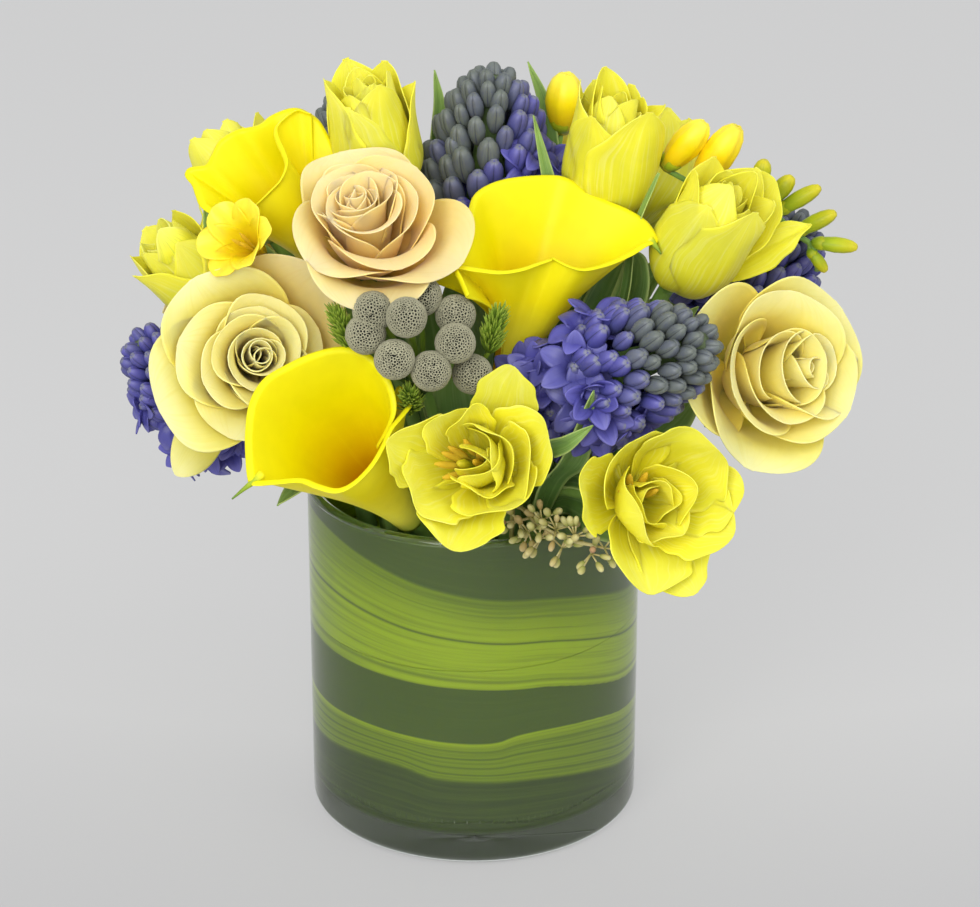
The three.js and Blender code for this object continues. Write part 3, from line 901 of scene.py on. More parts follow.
@dataclass
class Vase:
    """The glass cylinder: a straight wall, a thick foot with a soft heel, and a fire-polished rim."""

    radius: float = 75.0
    height: float = 160.0
    wall: float = 5.0
    floor: float = 13.0
    heel: float = 5.0
    rim: float = 2.2
    straight: float = 12.0  # the wall's first ring lies this far from a bend, so that the bend shades well
    # the hollow under the foot and the low dome of the floor, as radius and height
    punt: tuple[Pair, ...] = ((0.4, 1.0), (20.0, 0.8), (45.0, 0.2), (62.0, 0.0))
    dome: tuple[float, ...] = (48.0, 28.0, 10.0, 0.4)
    dome_rise: float = 0.5
    sides: int = 320

    def profile(self) -> np.ndarray:
        """Returns the section, as radius and height, from the middle of the foot round to the floor."""
        inner = self.radius - self.wall
        quarter = np.linspace(0.0, math.pi / 2.0, 8)
        bend = [(self.heel * (1 - math.sin(a)), self.heel * (1 - math.cos(a))) for a in quarter]
        heel = [(self.radius - near, up) for near, up in bend]
        lip = [
            (self.radius - self.wall / 2 * (1 - math.cos(a)), self.height - self.rim * (1 - math.sin(a)))
            for a in np.linspace(0.0, math.pi, 25)
        ]
        corner = [(inner - up, self.floor + near) for near, up in bend]
        top, low = self.height - self.straight, self.heel + self.straight
        wall = [(self.radius, z) for z in np.linspace(low, top, 8)]
        lining = [(inner, z) for z in np.linspace(top, self.floor + self.heel + self.straight, 8)]
        dome = [(r, self.floor + self.dome_rise * (1 - r / inner)) for r in self.dome]
        return np.array([*self.punt, *heel, *wall, *lip, *lining, *corner, *dome])

    def build(self, materials: Looks) -> None:
        """Makes the vase."""
        shape = Shape("vase_glass", "vase", "vase_glass")
        profile = self.profile()
        turn = np.linspace(0.0, CIRCLE, self.sides, endpoint=False)
        r, z = profile[:, :1], np.broadcast_to(profile[:, 1:], (len(profile), self.sides))
        points = np.stack([r * np.cos(turn), r * np.sin(turn), z], -1).reshape(-1, 3)
        at, _, wall = stacked(len(profile), self.sides)
        faces = wall, at[:1, ::-1], at[-1:]
        shape.part(points, faces, np.zeros_like(points), BlownGlass)
        shape.build(materials)


@dataclass
class Liner:
    """Two striped strap leaves wound round inside the glass."""

    pressed: float = 70.15  # radius of the side that lies on the glass
    thick: float = 0.7
    seam: float = 96.0  # height of the upper leaf's lower edge
    open: float = 0.04  # radians between a leaf's two ends
    drift: float = 5.0  # mm that it climbs from end to end
    top: float = 156.5  # height of the upper leaf's upper edge
    hidden: float = 112.0  # and of the lower leaf's, behind the upper one
    bottom: float = 19.0
    wave: float = 1.2  # mm height of the waves of the lower leaf's lower edge
    waves: int = 7
    tuck: float = 1.2  # mm that the lower leaf gives way to the upper one
    floor: float = 13.25  # height of the fold over the vase's floor
    corner: float = 5.0  # radius of the fold's bend
    corner_wide: float = 4.75
    fold_side: float = 69.75  # radius of its outer edge
    # height of the edges between the bands, at these bearings round the front from left to right
    bearings: tuple[float, ...] = (
        -270.0, -200.0, -157.0, -132.0, -113.0, -108.0, -88.0, -80.0, -75.0, -62.0, -41.0, -20.0, 20.0, 90.0,
    )
    above: float = 170.0  # a height over everything
    edges: tuple[tuple[float, ...], ...] = (
        (36.0, 40.0, 41.7, 46.2, 46.0, 42.5, 41.5, 41.0, 41.0, 40.0, 35.0, 27.0, 22.0, 36.0),
        (60.0, 62.0, 60.2, 62.1, 61.3, 61.0, 59.9, 60.5, 63.4, 64.0, 61.0, 54.2, 50.0, 60.0),
        (88.0, 92.0, 90.2, 89.8, 89.0, 88.8, 87.8, 87.0, 86.6, 85.7, 78.0, 70.0, 66.0, 88.0),
        (134.0, 150.0, 151.0, 144.0, 137.5, 136.0, 131.2, 130.0, 129.4, 128.0, 122.0, 114.0, 110.0, 134.0),
    )

    def bands(self, turn: np.ndarray, z: np.ndarray) -> np.ndarray:
        """Works out how far up the bands each point lies.

        Args:
            turn: the points' bearings, in degrees from -270 to 90.
            z: their heights.

        Returns:
            0 at the bottom to 1 at the top, a fifth for each band.
        """
        soft = 0.4 * np.interp(turn, self.bearings, np.gradient(self.bearings))
        spread = [turn + soft * share for share in np.linspace(-1.0, 1.0, 9)]
        rows = [np.mean([np.interp(t, self.bearings, edge) for t in spread], axis=0) for edge in self.edges]
        stops = np.stack([np.zeros_like(z), *rows, np.full_like(z, self.above)])
        found = np.zeros_like(z)
        for i in range(len(stops) - 1):
            inside = (z >= stops[i]) & (z < stops[i + 1])
            share = (z - stops[i]) / (stops[i + 1] - stops[i])
            found = np.where(inside, (i + share) / 5.0, found)
        return found

    def leaf(self, name: str, low: float, high: float, under: bool, materials: Looks) -> None:
        """Makes one leaf, which water presses flat on the glass.

        Args:
            name: the plain solid's name.
            low: height of its lower edge at the middle of its turn.
            high: height of its upper edge there.
            under: whether its top lies behind the other leaf.
            materials: each finish's material.
        """
        shape = Shape(name + "_strap", name, "liner_leaf")
        n, m = 241, 61
        t = np.linspace(0.0, 1.0, n)[:, None]
        s = np.linspace(0.0, 1.0, m)[None]
        turn = math.pi / 2 + self.open / 2 + t * (CIRCLE - self.open)
        climb = self.drift * (t - 0.5)
        z = mix(low, high, s) + climb + self.wave * np.sin(self.waves * turn) * (1 - s) ** 3 * under
        give = self.tuck * smooth((z - climb - self.seam - 1.0) / 2.0) + 0.05
        radius = self.pressed - self.thick / 2 - under * give
        grid = np.stack([radius * np.cos(turn), radius * np.sin(turn), z], -1)
        shape.sheet(grid, self.thick, StrapLeaf, 0.5)
        bearing = np.degrees(turn) - 360.0
        band = self.bands(np.broadcast_to(bearing, z.shape), z).ravel()
        across = np.broadcast_to(turn, z.shape).ravel()
        marks = np.stack([band, across, np.full(band.shape, 0.5)], -1)
        shape.marks[-1] = np.concatenate([marks, marks])
        if under:
            self.fold(shape)
        shape.build(materials)

    def fold(self, shape: Shape) -> None:
        """Adds the leaf's end, which is folded over the vase's floor under the cut stems."""
        turn = np.linspace(0.0, CIRCLE, 161)[:, None]
        bend = np.linspace(0.0, math.pi / 2.0, 9)
        flat, rings, edge = 60.0, 10, self.fold_side
        across = edge - self.corner_wide + self.corner_wide * np.sin(bend)
        up = self.floor + self.corner - self.corner * np.cos(bend)
        r = np.concatenate([np.linspace(0.5, flat, rings), across, [edge, edge]])[None]
        z = np.concatenate([np.full(rings, self.floor), up, [19.6, 21.5]])[None]
        z = z + 0.1 * np.sin(5 * turn) * np.clip(1.0 - r / flat, 0.0, 1.0)
        grid = np.stack([r * np.cos(turn), r * np.sin(turn), z], -1)
        shape.sheet(grid, self.thick, StrapLeaf, 0.5)
        shape.marks[-1][:, 0] = 0.05  # dark all over

    def build(self, materials: Looks) -> None:
        """Makes both leaves."""
        self.leaf("liner_leaf_upper", self.seam, self.top, False, materials)
        self.leaf("liner_leaf_lower", self.bottom, self.hidden, True, materials)


# -------- stems

GAP = 0.3  # clearance between pieces that touch
NECK_HEIGHT = 155.0  # where a stem passes the vase's mouth
NECK_REACH = 0.42  # how far out it passes there, as a share of the bloom's own distance
NECK_LIMIT = 53.0  # the farthest that it can be there, mm from the middle
FOOT_HEIGHT = 13.6  # where it stands on the vase's floor
FOOT_REACH = 0.86  # how far out it stands, as a share of its neck's distance


@dataclass
class Flower:
    """A bloom on its stem, which runs down through the vase's mouth to its floor."""

    name: str
    seat: Vec
    face: Vec
    tip: Vec = (1.0, 0.0, 0.0)
    neck: tuple[float, ...] = ()  # where its stem passes the mouth, if given
    foot: tuple[float, ...] = ()  # and where that stands
    size: float = 1.0
    seed: int = 1

    def place(self) -> np.ndarray:
        """Returns the matrix that sets the bloom on its seat."""
        return frame_at(self.seat, self.face, self.tip, self.size)

    def rng(self) -> np.random.Generator:
        """Returns the flower's own seeded draws."""
        return np.random.default_rng(self.seed)

    def base(self) -> np.ndarray:
        """Returns the stem's foot on the vase's floor and its neck at the vase's mouth."""
        x, y, _ = self.seat
        reach = min(NECK_REACH, NECK_LIMIT / max(math.hypot(x, y), 1e-6))
        neck = (*self.neck, NECK_HEIGHT)[:3] if self.neck else (x * reach, y * reach, NECK_HEIGHT)
        foot = self.foot or (neck[0] * FOOT_REACH, neck[1] * FOOT_REACH)
        return np.array([(*foot, FOOT_HEIGHT), neck])

    def path(self, start: float, lead: float = 16.0) -> np.ndarray:
        """Works out the stem's middle line.

        Args:
            start: how far below the seat it ends.
            lead: how much of its end lies in line with the bloom.

        Returns:
            The points, from the cut end up.
        """
        face = unit(self.face)
        top = np.array(self.seat) - face * start
        return curve(np.vstack([self.base(), top - face * lead, top]), 40)

    def stem(self, radius: float, materials: Looks) -> None:
        """Makes the stem as a piece of its own.

        Args:
            radius: its radius.
            materials: each finish's material.
        """
        shape = Shape(self.name + "_stalk", self.name + "_stem", "stem")
        path = self.path(GAP)
        # a stem is a little thicker at its cut end and swells under the bloom
        t = np.linspace(0.0, 1.0, len(path))
        shape.tube(path, radius * (0.97 + 0.03 * np.cos(6.0 * t)), Finish.STEM, sides=20)
        shape.build(materials)


# -------- calla lilies


@dataclass
class Calla(Flower):
    """A calla lily: one waxy spathe rolled into a funnel round its spadix.

    The margin is read off the photograph, from the edge that lies inside, round the mouth past the tip, to
    the edge that wraps over the first one.
    """

    margin: tuple[Vec, ...] = ()  # pixel across, pixel down, mm in front of the mouth's plane
    mouth: Vec = (0.0, 0.0, 0.0)  # middle of the mouth
    facing: Vec = (0.0, -1.0, 0.0)  # the way the mouth's plane looks
    throat: float = 16.0  # radius of the funnel where it opens
    deep: float = 0.62  # how far up the funnel that is
    curl: float = 1.9  # radius of the rolled margin
    tail: tuple[Vec, ...] = ()  # the green point, in the same pixels
    tube_radius: float = 5.6
    club: tuple[float, ...] = (3.3, 30.5, 2.7, 10.0)  # spadix: foot, top, radius, where it narrows
    stalk: float = 4.6

    def rim(self, count: int) -> np.ndarray:
        """Returns the mouth's margin as points of the bouquet."""
        if self.margin:
            return curve(EYE.onto(self.margin, self.mouth, self.facing), count)
        # on the side that the photograph doesn't show, a mouth of the same form as the front one's
        turn = np.radians(np.linspace(-205.0, 195.0, 25))
        reach = 33.0 + 9.0 * np.exp(-((turn / 0.35) ** 2)) - 2.0 * np.cos(2 * turn)
        height = 60.0 + 2.0 * np.cos(turn) - 9.0 * np.exp(-((turn / 0.5) ** 2))
        ends = smooth((np.abs(turn) - 2.6) / 0.9)
        reach = reach * (1.0 - 0.12 * ends) + 5.0 * (turn > 2.6) * ends
        pattern = np.stack([reach * np.cos(turn), reach * np.sin(turn), height + 5.0 * ends], -1)
        return curve(moved(pattern, self.place()), count)

    def spathe(self) -> tuple[np.ndarray, np.ndarray]:
        """Works out the spathe's surface.

        Returns:
            The grid of points, round anticlockwise then along, and how far along each column lies.
        """
        n, m, rolled = 181, 46, 10
        rim = self.rim(n)
        seat, face, place = np.array(self.seat), unit(self.face), self.place()
        away = rim - seat
        sense = np.unwrap(np.arctan2(away @ place[:3, 1], away @ place[:3, 0]))
        lap = np.linspace(-0.5, 0.5, n)[:, None]  # the outer edge lies outside the inner one
        if sense[-1] < sense[0]:
            rim, sense, lap = rim[::-1], sense[::-1], -lap
        ring = np.cos(sense)[:, None] * place[:3, 0] + np.sin(sense)[:, None] * place[:3, 1]
        middle = np.array(self.mouth) if self.margin else seat + face * 60.0
        reach = np.linalg.norm(middle - seat)
        tall = np.clip(away @ face if lap[0, 0] < 0 else away[::-1] @ face, 12.0, None)[:, None]
        foot = seat + ring * (self.tube_radius + 1.6 * lap)
        low = foot + face * np.minimum(reach * 0.4, tall * 0.5) + ring * 1.5
        high = seat + face * np.minimum(reach * self.deep, tall * 0.75)
        high = mix(high, mix(seat, middle, self.deep), 0.4) + ring * (self.throat + 3.0 * lap)
        s = np.linspace(0.0, 1.0, m)[None, :, None]
        a, b, c, d = (p[:, None] for p in (foot, low, high, rim))
        grid = a * (1 - s) ** 3 + 3 * b * (1 - s) ** 2 * s + 3 * c * (1 - s) * s**2 + d * s**3
        along = unit(grid[:, -1] - grid[:, -3])
        out = unit(np.cross(np.gradient(rim, axis=0), along))
        bend = np.linspace(0.0, math.radians(105.0), rolled)[None, 1:, None]
        edge = rim[:, None] + self.curl * (
            np.sin(bend) * along[:, None] + (1 - np.cos(bend)) * out[:, None]
        )
        v = np.concatenate([np.linspace(0.0, 0.96, m), np.linspace(0.965, 1.0, rolled - 1)])
        return np.concatenate([grid, edge], axis=1), v

    def build(self, materials: Looks) -> None:
        """Makes the spathe, its spadix and its stem."""
        shape = Shape(self.name + "_funnel", self.name + "_spathe", "calla_spathe")
        grid, v = self.spathe()
        thick = 1.2 - 0.6 * smooth(v)
        shape.sheet(grid, thick, Finish.CALLA_OUTSIDE, 0.5, v, Finish.CALLA_INSIDE)
        if self.tail:
            path = curve(EYE.onto(self.tail, self.mouth, self.facing), 14)
            shape.tube(path, np.linspace(2.0, 0.35, 14), Finish.CALLA_TIP, sides=10)
        shape.build(materials)
        club = Shape(self.name + "_club", self.name + "_spadix", "calla_spadix")
        low, top, girth, shoulder = self.club
        heights = np.linspace(low, top, 18)
        narrower = ((heights - shoulder) / (top - shoulder + 1.0)) ** 2 * (heights > shoulder)
        radii = girth * np.sqrt(np.clip(1.0 - narrower, 0.05, 1.0))
        club.tube(upright(heights, self.place()), radii, Finish.CALLA_SPADIX, sides=16)
        club.build(materials)
        self.stem(self.stalk, materials)


# -------- roses


@dataclass(frozen=True)
class Guard:
    """One of a flower's own petals, placed one by one."""

    turn: float  # degrees round the bloom
    length: float = 46.0
    width: float = 30.0  # half of it
    lift: float = 34.0
    rise: float = 70.0
    roll: float = 80.0
    peach: bool = False


ROSE_THICK = 0.45  # of a petal
HIP = (3.4, 4.6, 5.4, 5.6, 5.4, 5.0, 4.0, 2.0)  # radii of the green swelling under a rose


@dataclass
class Rose(Flower):
    """A garden rose: a tight spiral heart, and wide petals that fold back more towards the outside."""

    heart: int = 12
    kind: Finish = Finish.ROSE_CREAM
    guards: tuple[Guard, ...] = (
        Guard(20, 42, 24, 52, 80, 60), Guard(150, 43, 25, 48, 79, 64), Guard(265, 43, 26, 46, 77, 66),
        Guard(85, 45, 29, 40, 74, 78), Guard(205, 46, 30, 38, 72, 84), Guard(325, 46, 30, 36, 70, 84),
        Guard(35, 46, 30, 28, 62, 95), Guard(120, 46, 30, 24, 60, 100), Guard(245, 46, 31, 22, 56, 95),
    )
    lean: Pair = (0.0, 0.0)  # degrees that the heart leans to its right and its back
    sunk: float = 0.0  # mm that its petals reach down over the stem
    stalk: float = 3.2

    def build(self, materials: Looks) -> None:
        """Makes the bloom with its sepals, and its stem."""
        shape = Shape(self.name + "_petals", self.name + "_bloom", "rose_petal")
        rng, place = self.rng(), self.place()
        place[:3, 3] -= place[:3, 2] * self.sunk
        lx, ly = (math.tan(math.radians(a)) for a in self.lean)
        inner = place @ frame_at((0.0, 0.0, 0.0), (lx, ly, 1.0))
        for k in range(self.heart):
            s = k / (self.heart - 1)
            petal = Petal(
                length=mix(36.0, 42.0, s) * (1 + 0.03 * rng.normal()),
                width=mix(8.0, 26.0, s**0.7) * (1 + 0.06 * rng.normal()),
                start=mix(0.6, 4.5, s),
                foot=mix(5.0, 2.0, s),
                lift=mix(86.0, 50.0, s),
                rise=mix(92.0, 77.0, s),
                roll=mix(2.0, 55.0, s**1.5) * (1 + 0.2 * rng.normal()),
                roll_from=mix(0.9, 0.7, s),
                cup=1.0,
                broad=0.66,
                point=0.1 + 0.2 * rng.random(),
                waist=0.4,
                ruffle=mix(0.2, 0.7, s),
                waves=rng.uniform(1.0, 2.2),
                twist=mix(1.4, 3.0, s),
                flare=mix(0.0, 1.5, s),
            )
            grid, v = petal.grid(k * GOLDEN + 0.15 * rng.normal(), rng.uniform(0, ROUND), 25, 26)
            shape.sheet(moved(grid, inner), ROSE_THICK, self.kind, rng.random(), v)
        for i, guard in enumerate(self.guards):
            petal = Petal(
                length=guard.length, width=guard.width, start=4.5 + 0.2 * i, foot=1.6 - 0.12 * i,
                lift=guard.lift, rise=guard.rise, roll=guard.roll, roll_from=0.64, cup=0.9,
                broad=0.62, point=0.35 + 0.4 * rng.random(), waist=0.4, ruffle=1.0,
                waves=rng.uniform(1.0, 2.0), twist=1.5, flare=5.0,
            )
            grid, v = petal.grid(math.radians(guard.turn), rng.uniform(0, ROUND), 33, 34)
            kind = Finish.ROSE_PEACH if guard.peach else self.kind
            shape.sheet(moved(grid, place), ROSE_THICK, kind, rng.random(), v)
        for k in range(5):
            sepal = Petal(
                length=24.0, width=4.0, start=2.0, foot=0.6, lift=10.0, rise=20.0, roll=60.0,
                roll_from=0.4, cup=0.6, point=1.0, broad=0.3,
            )
            grid, v = sepal.grid(k * CIRCLE / 5 + 0.3, 0.0, 7, 12)
            shape.sheet(moved(grid, place), 0.5, Finish.SEPAL, 0.5, v)
        hip = upright(np.linspace(0.1, 7.0, len(HIP)), place)
        shape.tube(hip, np.array(HIP), Finish.SEPAL, sides=16)
        shape.build(materials)
        self.stem(self.stalk, materials)


# -------- tulips

STAMEN_GIRTH = (0.7, 0.6, 0.6, 0.8, 1.5, 1.7, 1.6, 1.3, 0.5)  # radii from the filament to the anther's tip
PISTIL_GIRTH = (1.5, 2.2, 2.1, 2.0, 2.4, 1.0)
CLASP = (0.0, 2.0, 5.0, 9.0, 14.0)  # mm that a leaf leaves its stem, from its foot to its tip


@dataclass
class Tulip(Flower):
    """A double tulip, still cupped, with ribbed petals in several whorls."""

    whorls: tuple[Petal, ...] = (
        Petal(length=50, width=13, start=2, foot=2, lift=66, rise=93, point=0.6, ruffle=2.0),
        Petal(length=54, width=16, start=3, foot=1.5, lift=54, rise=95, point=0.6, ruffle=1.8),
        Petal(length=57, width=19, start=3.5, foot=0.8, lift=42, rise=97, point=0.7, ruffle=1.6),
        Petal(length=60, width=21, start=4, foot=0.2, lift=32, rise=96, roll=4, point=0.95, ruffle=1.5),
        Petal(length=58, width=21, start=4, foot=0.0, lift=27, rise=93, roll=10, point=0.95, ruffle=1.5),
    )
    per_whorl: int = 3
    green: int = 0  # how many of the inner whorls are streaked with green
    placed: tuple[Guard, ...] = ()  # petals of their own place
    hollow: float = 1.05  # how much those bend across
    stalk: float = 3.4
    stamens: int = 0
    heart: Pair = (0.0, 0.0)  # where the stamens stand
    # more leaves: where on the stem each one grows, its width and its middle line
    blades: tuple[tuple[float, float, tuple[Vec, ...]], ...] = ()

    def build(self, materials: Looks) -> None:
        """Makes the bloom and its stem."""
        shape = Shape(self.name + "_petals", self.name + "_bloom", "tulip_petal")
        rng, place = self.rng(), self.place()
        for i, guard in enumerate(self.placed):
            petal = Petal(
                length=guard.length, width=guard.width, start=3.0 + 0.12 * i, foot=2.0 - 0.1 * i,
                lift=guard.lift, rise=guard.rise, roll=guard.roll, roll_from=0.5,
                cup=mix(0.55, self.hollow, i / (len(self.placed) - 1)),
                broad=0.62, point=0.2 + 0.6 * rng.random(), waist=0.3, ruffle=3.0,
                waves=rng.uniform(1.2, 2.6), crease=0.7, flare=1.0, ragged=0.05 + 0.05 * rng.random(),
                twist=2.2 * rng.normal(),
            )
            grid, v = petal.grid(math.radians(guard.turn), rng.uniform(0, ROUND), 33, 32)
            shape.sheet(moved(grid, place), petal.thick, Finish.TULIP_PETAL, rng.random(), v)
        for row, whorl in enumerate(self.whorls):
            finish = Finish.TULIP_GREEN if row < self.green else Finish.TULIP_PETAL
            for k in range(self.per_whorl):
                petal = replace(
                    whorl,
                    length=whorl.length * (1 + 0.05 * rng.normal()),
                    width=whorl.width * (1 + 0.06 * rng.normal()),
                    lift=whorl.lift + 4 * rng.normal(),
                    rise=whorl.rise + 3 * rng.normal(),
                    roll=whorl.roll + 8 * rng.normal(),
                    crease=0.8,
                    ragged=0.05,
                )
                turn = (k + 0.5 * row) * CIRCLE / self.per_whorl + 0.12 * rng.normal()
                grid, v = petal.grid(turn, rng.uniform(0, ROUND), 23, 36)
                shape.sheet(moved(grid, place), petal.thick, finish, rng.random(), v)
        if self.stamens:
            self.middle(shape, rng, place)
        shape.build(materials)
        self.stem(self.stalk, materials)

    def middle(self, shape: Shape, rng: np.random.Generator, place: np.ndarray) -> None:
        """Adds the stamens round their pistil.

        Args:
            shape: the piece they go into.
            rng: the flower's draws.
            place: the matrix that sets the bloom on its seat.
        """
        hx, hy = self.heart
        for k in range(self.stamens):
            turn = k * CIRCLE / self.stamens + 0.2 * rng.normal()
            lean, tall = rng.uniform(0.2, 0.42), 21.0 + 2 * rng.normal()
            share = np.linspace(0.0, 1.0, len(STAMEN_GIRTH))
            r = 1.5 + 20 * lean * share
            x, y = r * math.cos(turn) + hx * share, r * math.sin(turn) + hy * share
            rod = moved(np.stack([x, y, 2 + tall * share], -1), place)
            shape.tube(rod, np.array(STAMEN_GIRTH), Finish.STAMEN, rng.random(), 8)
        share = np.linspace(0.0, 1.0, len(PISTIL_GIRTH))
        rod = moved(np.stack([hx * share, hy * share, 1 + 17 * share], -1), place)
        shape.tube(rod, np.array(PISTIL_GIRTH), Finish.FREESIA_BUD, sides=10)

    def stem(self, radius: float, materials: Looks) -> None:
        """Makes the stem with the two leaves that clasp it, and with its other leaves.

        Args:
            radius: its radius.
            materials: each finish's material.
        """
        shape = Shape(self.name + "_stalk", self.name + "_stem", "stem")
        path = self.path(GAP)
        shape.tube(path, radius, Finish.STEM, sides=20)
        rng = self.rng()
        for side, reach in ((-1.0, 0.9), (1.0, 0.74)):
            share = np.linspace(0.4, reach, 5)
            spots = path[(share * (len(path) - 1)).astype(int)]
            way = unit(np.cross(spots[-1] - spots[0], (0.0, -1.0, 0.2))) * side
            drift = np.array(CLASP)[:, None] * (1 + 0.3 * rng.normal())
            clasp = spots + way * (radius + 0.8) + way * drift + np.array([0.0, 0.0, 0.3]) * drift
            blade(shape, clasp, 17.0 + 2.0 * rng.normal(), tuple(np.array([0.0, -1.0, 0.4]) + 0.5 * way))
        for share, width, line in self.blades:
            root = path[int(share * len(path))]
            blade(shape, (tuple(root), *line), width, (0.2, -1.0, 0.3))
        shape.build(materials)


# an open double tulip's petals, from its heart outwards
OPEN = (
    Guard(20, 32, 13, 62, 96, -16), Guard(335, 30, 12, 66, 98, -10), Guard(275, 30, 15, 48, 76, 4),
    Guard(320, 36, 17, 54, 90, -14), Guard(0, 38, 18, 52, 88, -20), Guard(44, 40, 18, 48, 82, -14),
    Guard(104, 42, 11, 44, 74, -6), Guard(132, 43, 14, 42, 68, 0), Guard(300, 44, 22, 34, 66, -4),
    Guard(18, 45, 20, 32, 60, 6), Guard(345, 43, 22, 36, 68, -8), Guard(212, 46, 20, 28, 56, -10),
    Guard(170, 51, 17, 30, 56, -6), Guard(66, 52, 14, 30, 52, 0), Guard(252, 47, 20, 24, 50, 0),
)
OPEN_RIGHT = (
    Guard(160, 26, 9, 64, 90, 0), Guard(60, 30, 12, 66, 92, 0), Guard(345, 30, 12, 60, 90, 0),
    Guard(230, 30, 14, 54, 84, 0), Guard(300, 34, 16, 46, 76, 0), Guard(20, 38, 17, 50, 84, -10),
    Guard(205, 41, 21, 36, 74, -16), Guard(335, 47, 20, 32, 60, 0), Guard(4, 48, 18, 34, 58, 4),
    Guard(50, 50, 25, 32, 64, -10), Guard(134, 48, 24, 30, 60, -4), Guard(176, 50, 18, 24, 46, 0),
    Guard(262, 46, 24, 22, 50, 8), Guard(292, 48, 17, 20, 46, 14),
)


# -------- hyacinths


# share of a head's length, and its radius there as a share of the widest
HEAD_OUTLINE = (
    (0.0, 0.02, 0.12, 0.28, 0.45, 0.62, 0.78, 0.93, 1.0),
    (0.3, 0.6, 0.95, 1.0, 0.95, 0.82, 0.66, 0.38, 0.1),
)
FUNNEL = (6.5, 0.4)  # radius of a calla's funnel at its seat, and how much it gains with each mm


@dataclass
class Hyacinth(Flower):
    """A hyacinth spike: green-grey buds at its tip and open violet florets lower down."""

    radius: float = 29.0
    length: float = 74.0
    buds: int = 110
    stalk: float = 5.0
    lowest: float = 0.02  # where the lowest florets stand, as a share of its length
    opened: float = 0.3  # how far up the florets have opened
    violet: float = 0.4  # how far up they are violet
    sunny: Pair = (0.0, 0.0)  # the side on which they are riper, and by how much
    beside: tuple[Vec, ...] = ()  # seat and mouth of the funnel that they press against
    core: Pair = (11.0, 3.5)  # radii of the scape inside the head, at its foot and its tip

    def surface(self, t: float) -> float:
        """Returns the head's radius, as a share of its widest, at a share of its length."""
        return float(np.interp(t, *HEAD_OUTLINE))

    def inside(self, points: np.ndarray) -> bool:
        """Tells whether any of the points lies inside the funnel beside it."""
        if not self.beside:
            return False
        seat, mouth = np.array(self.beside, float)
        off = points.reshape(-1, 3) - seat
        along = off @ unit(mouth - seat)
        reach = np.linalg.norm(off - along[:, None] * unit(mouth - seat), axis=1)
        narrow, widening = FUNNEL
        return bool((reach < narrow + widening * along).any())

    def build(self, materials: Looks) -> None:
        """Makes the spike on its scape."""
        shape = Shape(self.name + "_spike", self.name, "hyacinth_floret")
        rng, place = self.rng(), self.place()
        bud, slim = capsule(20.0, 5.3, 3, 0.22, 30), capsule(16.0, 3.4, 3, 0.2)
        for k in range(self.buds):
            t = self.lowest + (0.98 - self.lowest) * (k + 0.5) / self.buds
            wide = self.surface(max(t, 0.1)) * self.radius
            turn = k * GOLDEN + 0.08 * rng.normal()
            size = mix(1.1, 0.72, smooth(t)) * (1 + 0.07 * rng.normal())
            age = t - self.sunny[0] * math.cos(turn) - self.sunny[1] * math.sin(turn)
            tip = np.array([wide * math.cos(turn), wide * math.sin(turn), t * self.length])
            ripe = age < self.opened + 0.08 * rng.normal()
            if ripe and k % 5 in (1, 3):  # open florets take more room
                continue
            up = mix(0.4, 1.4, t) if ripe else mix(1.2, 3.2, t)
            way = unit((math.cos(turn), math.sin(turn), up + 0.15 * rng.normal()))
            size = size * (1.25 if ripe else 1.0)
            root = tip - way * (15.0 if ripe else 18.0) * size
            spot = place @ frame_at(tuple(root), tuple(way), (0.0, 0.3, 1.0), size)
            tone = float(np.clip(1.1 * smooth((age - self.violet) / 0.3) + 0.14 * rng.normal(), 0.0, 1.0))
            pattern = slim if ripe else bud
            if self.inside(moved(pattern[0], spot)):
                continue
            stamp(shape, pattern, spot, Finish.HYACINTH_BUD, tone)
            if ripe:
                self.lobes(shape, rng, spot, tone)
        core = upright(np.linspace(0.0, 0.93 * self.length, 12), place)
        shape.tube(core, np.linspace(*self.core, 12) * self.size, Finish.HYACINTH_SCAPE, sides=16)
        shape.tube(self.path(-9.0, 25.0), self.stalk * self.size, Finish.HYACINTH_SCAPE, sides=18)
        shape.build(materials)

    def lobes(self, shape: Shape, rng: np.random.Generator, spot: np.ndarray, tone: float) -> None:
        """Adds the six lobes of one open floret.

        Args:
            shape: the piece they go into.
            rng: the flower's draws.
            spot: the matrix that sets the floret on the head.
            tone: the floret's tone.
        """
        bloom = rng.uniform(25.0, 95.0)
        for j in range(6):
            lobe = Petal(
                length=15.0, width=3.9, start=1.9, foot=8.0, lift=80.0, rise=78.0 - 0.3 * bloom,
                roll=bloom + 15 * rng.normal(), roll_from=0.2, cup=0.6, point=0.5,
                waist=0.7, broad=0.55, crease=0.3,
            )
            grid, v = lobe.grid(j * math.pi / 3 + 0.1 * rng.normal(), 0.0, 7, 11)
            grid = moved(grid, spot)
            if not self.inside(grid):
                shape.sheet(grid, 0.6, Finish.HYACINTH, tone * 0.3, 0.4 + 0.6 * v)


# -------- freesias, brunia, eucalyptus, leaves


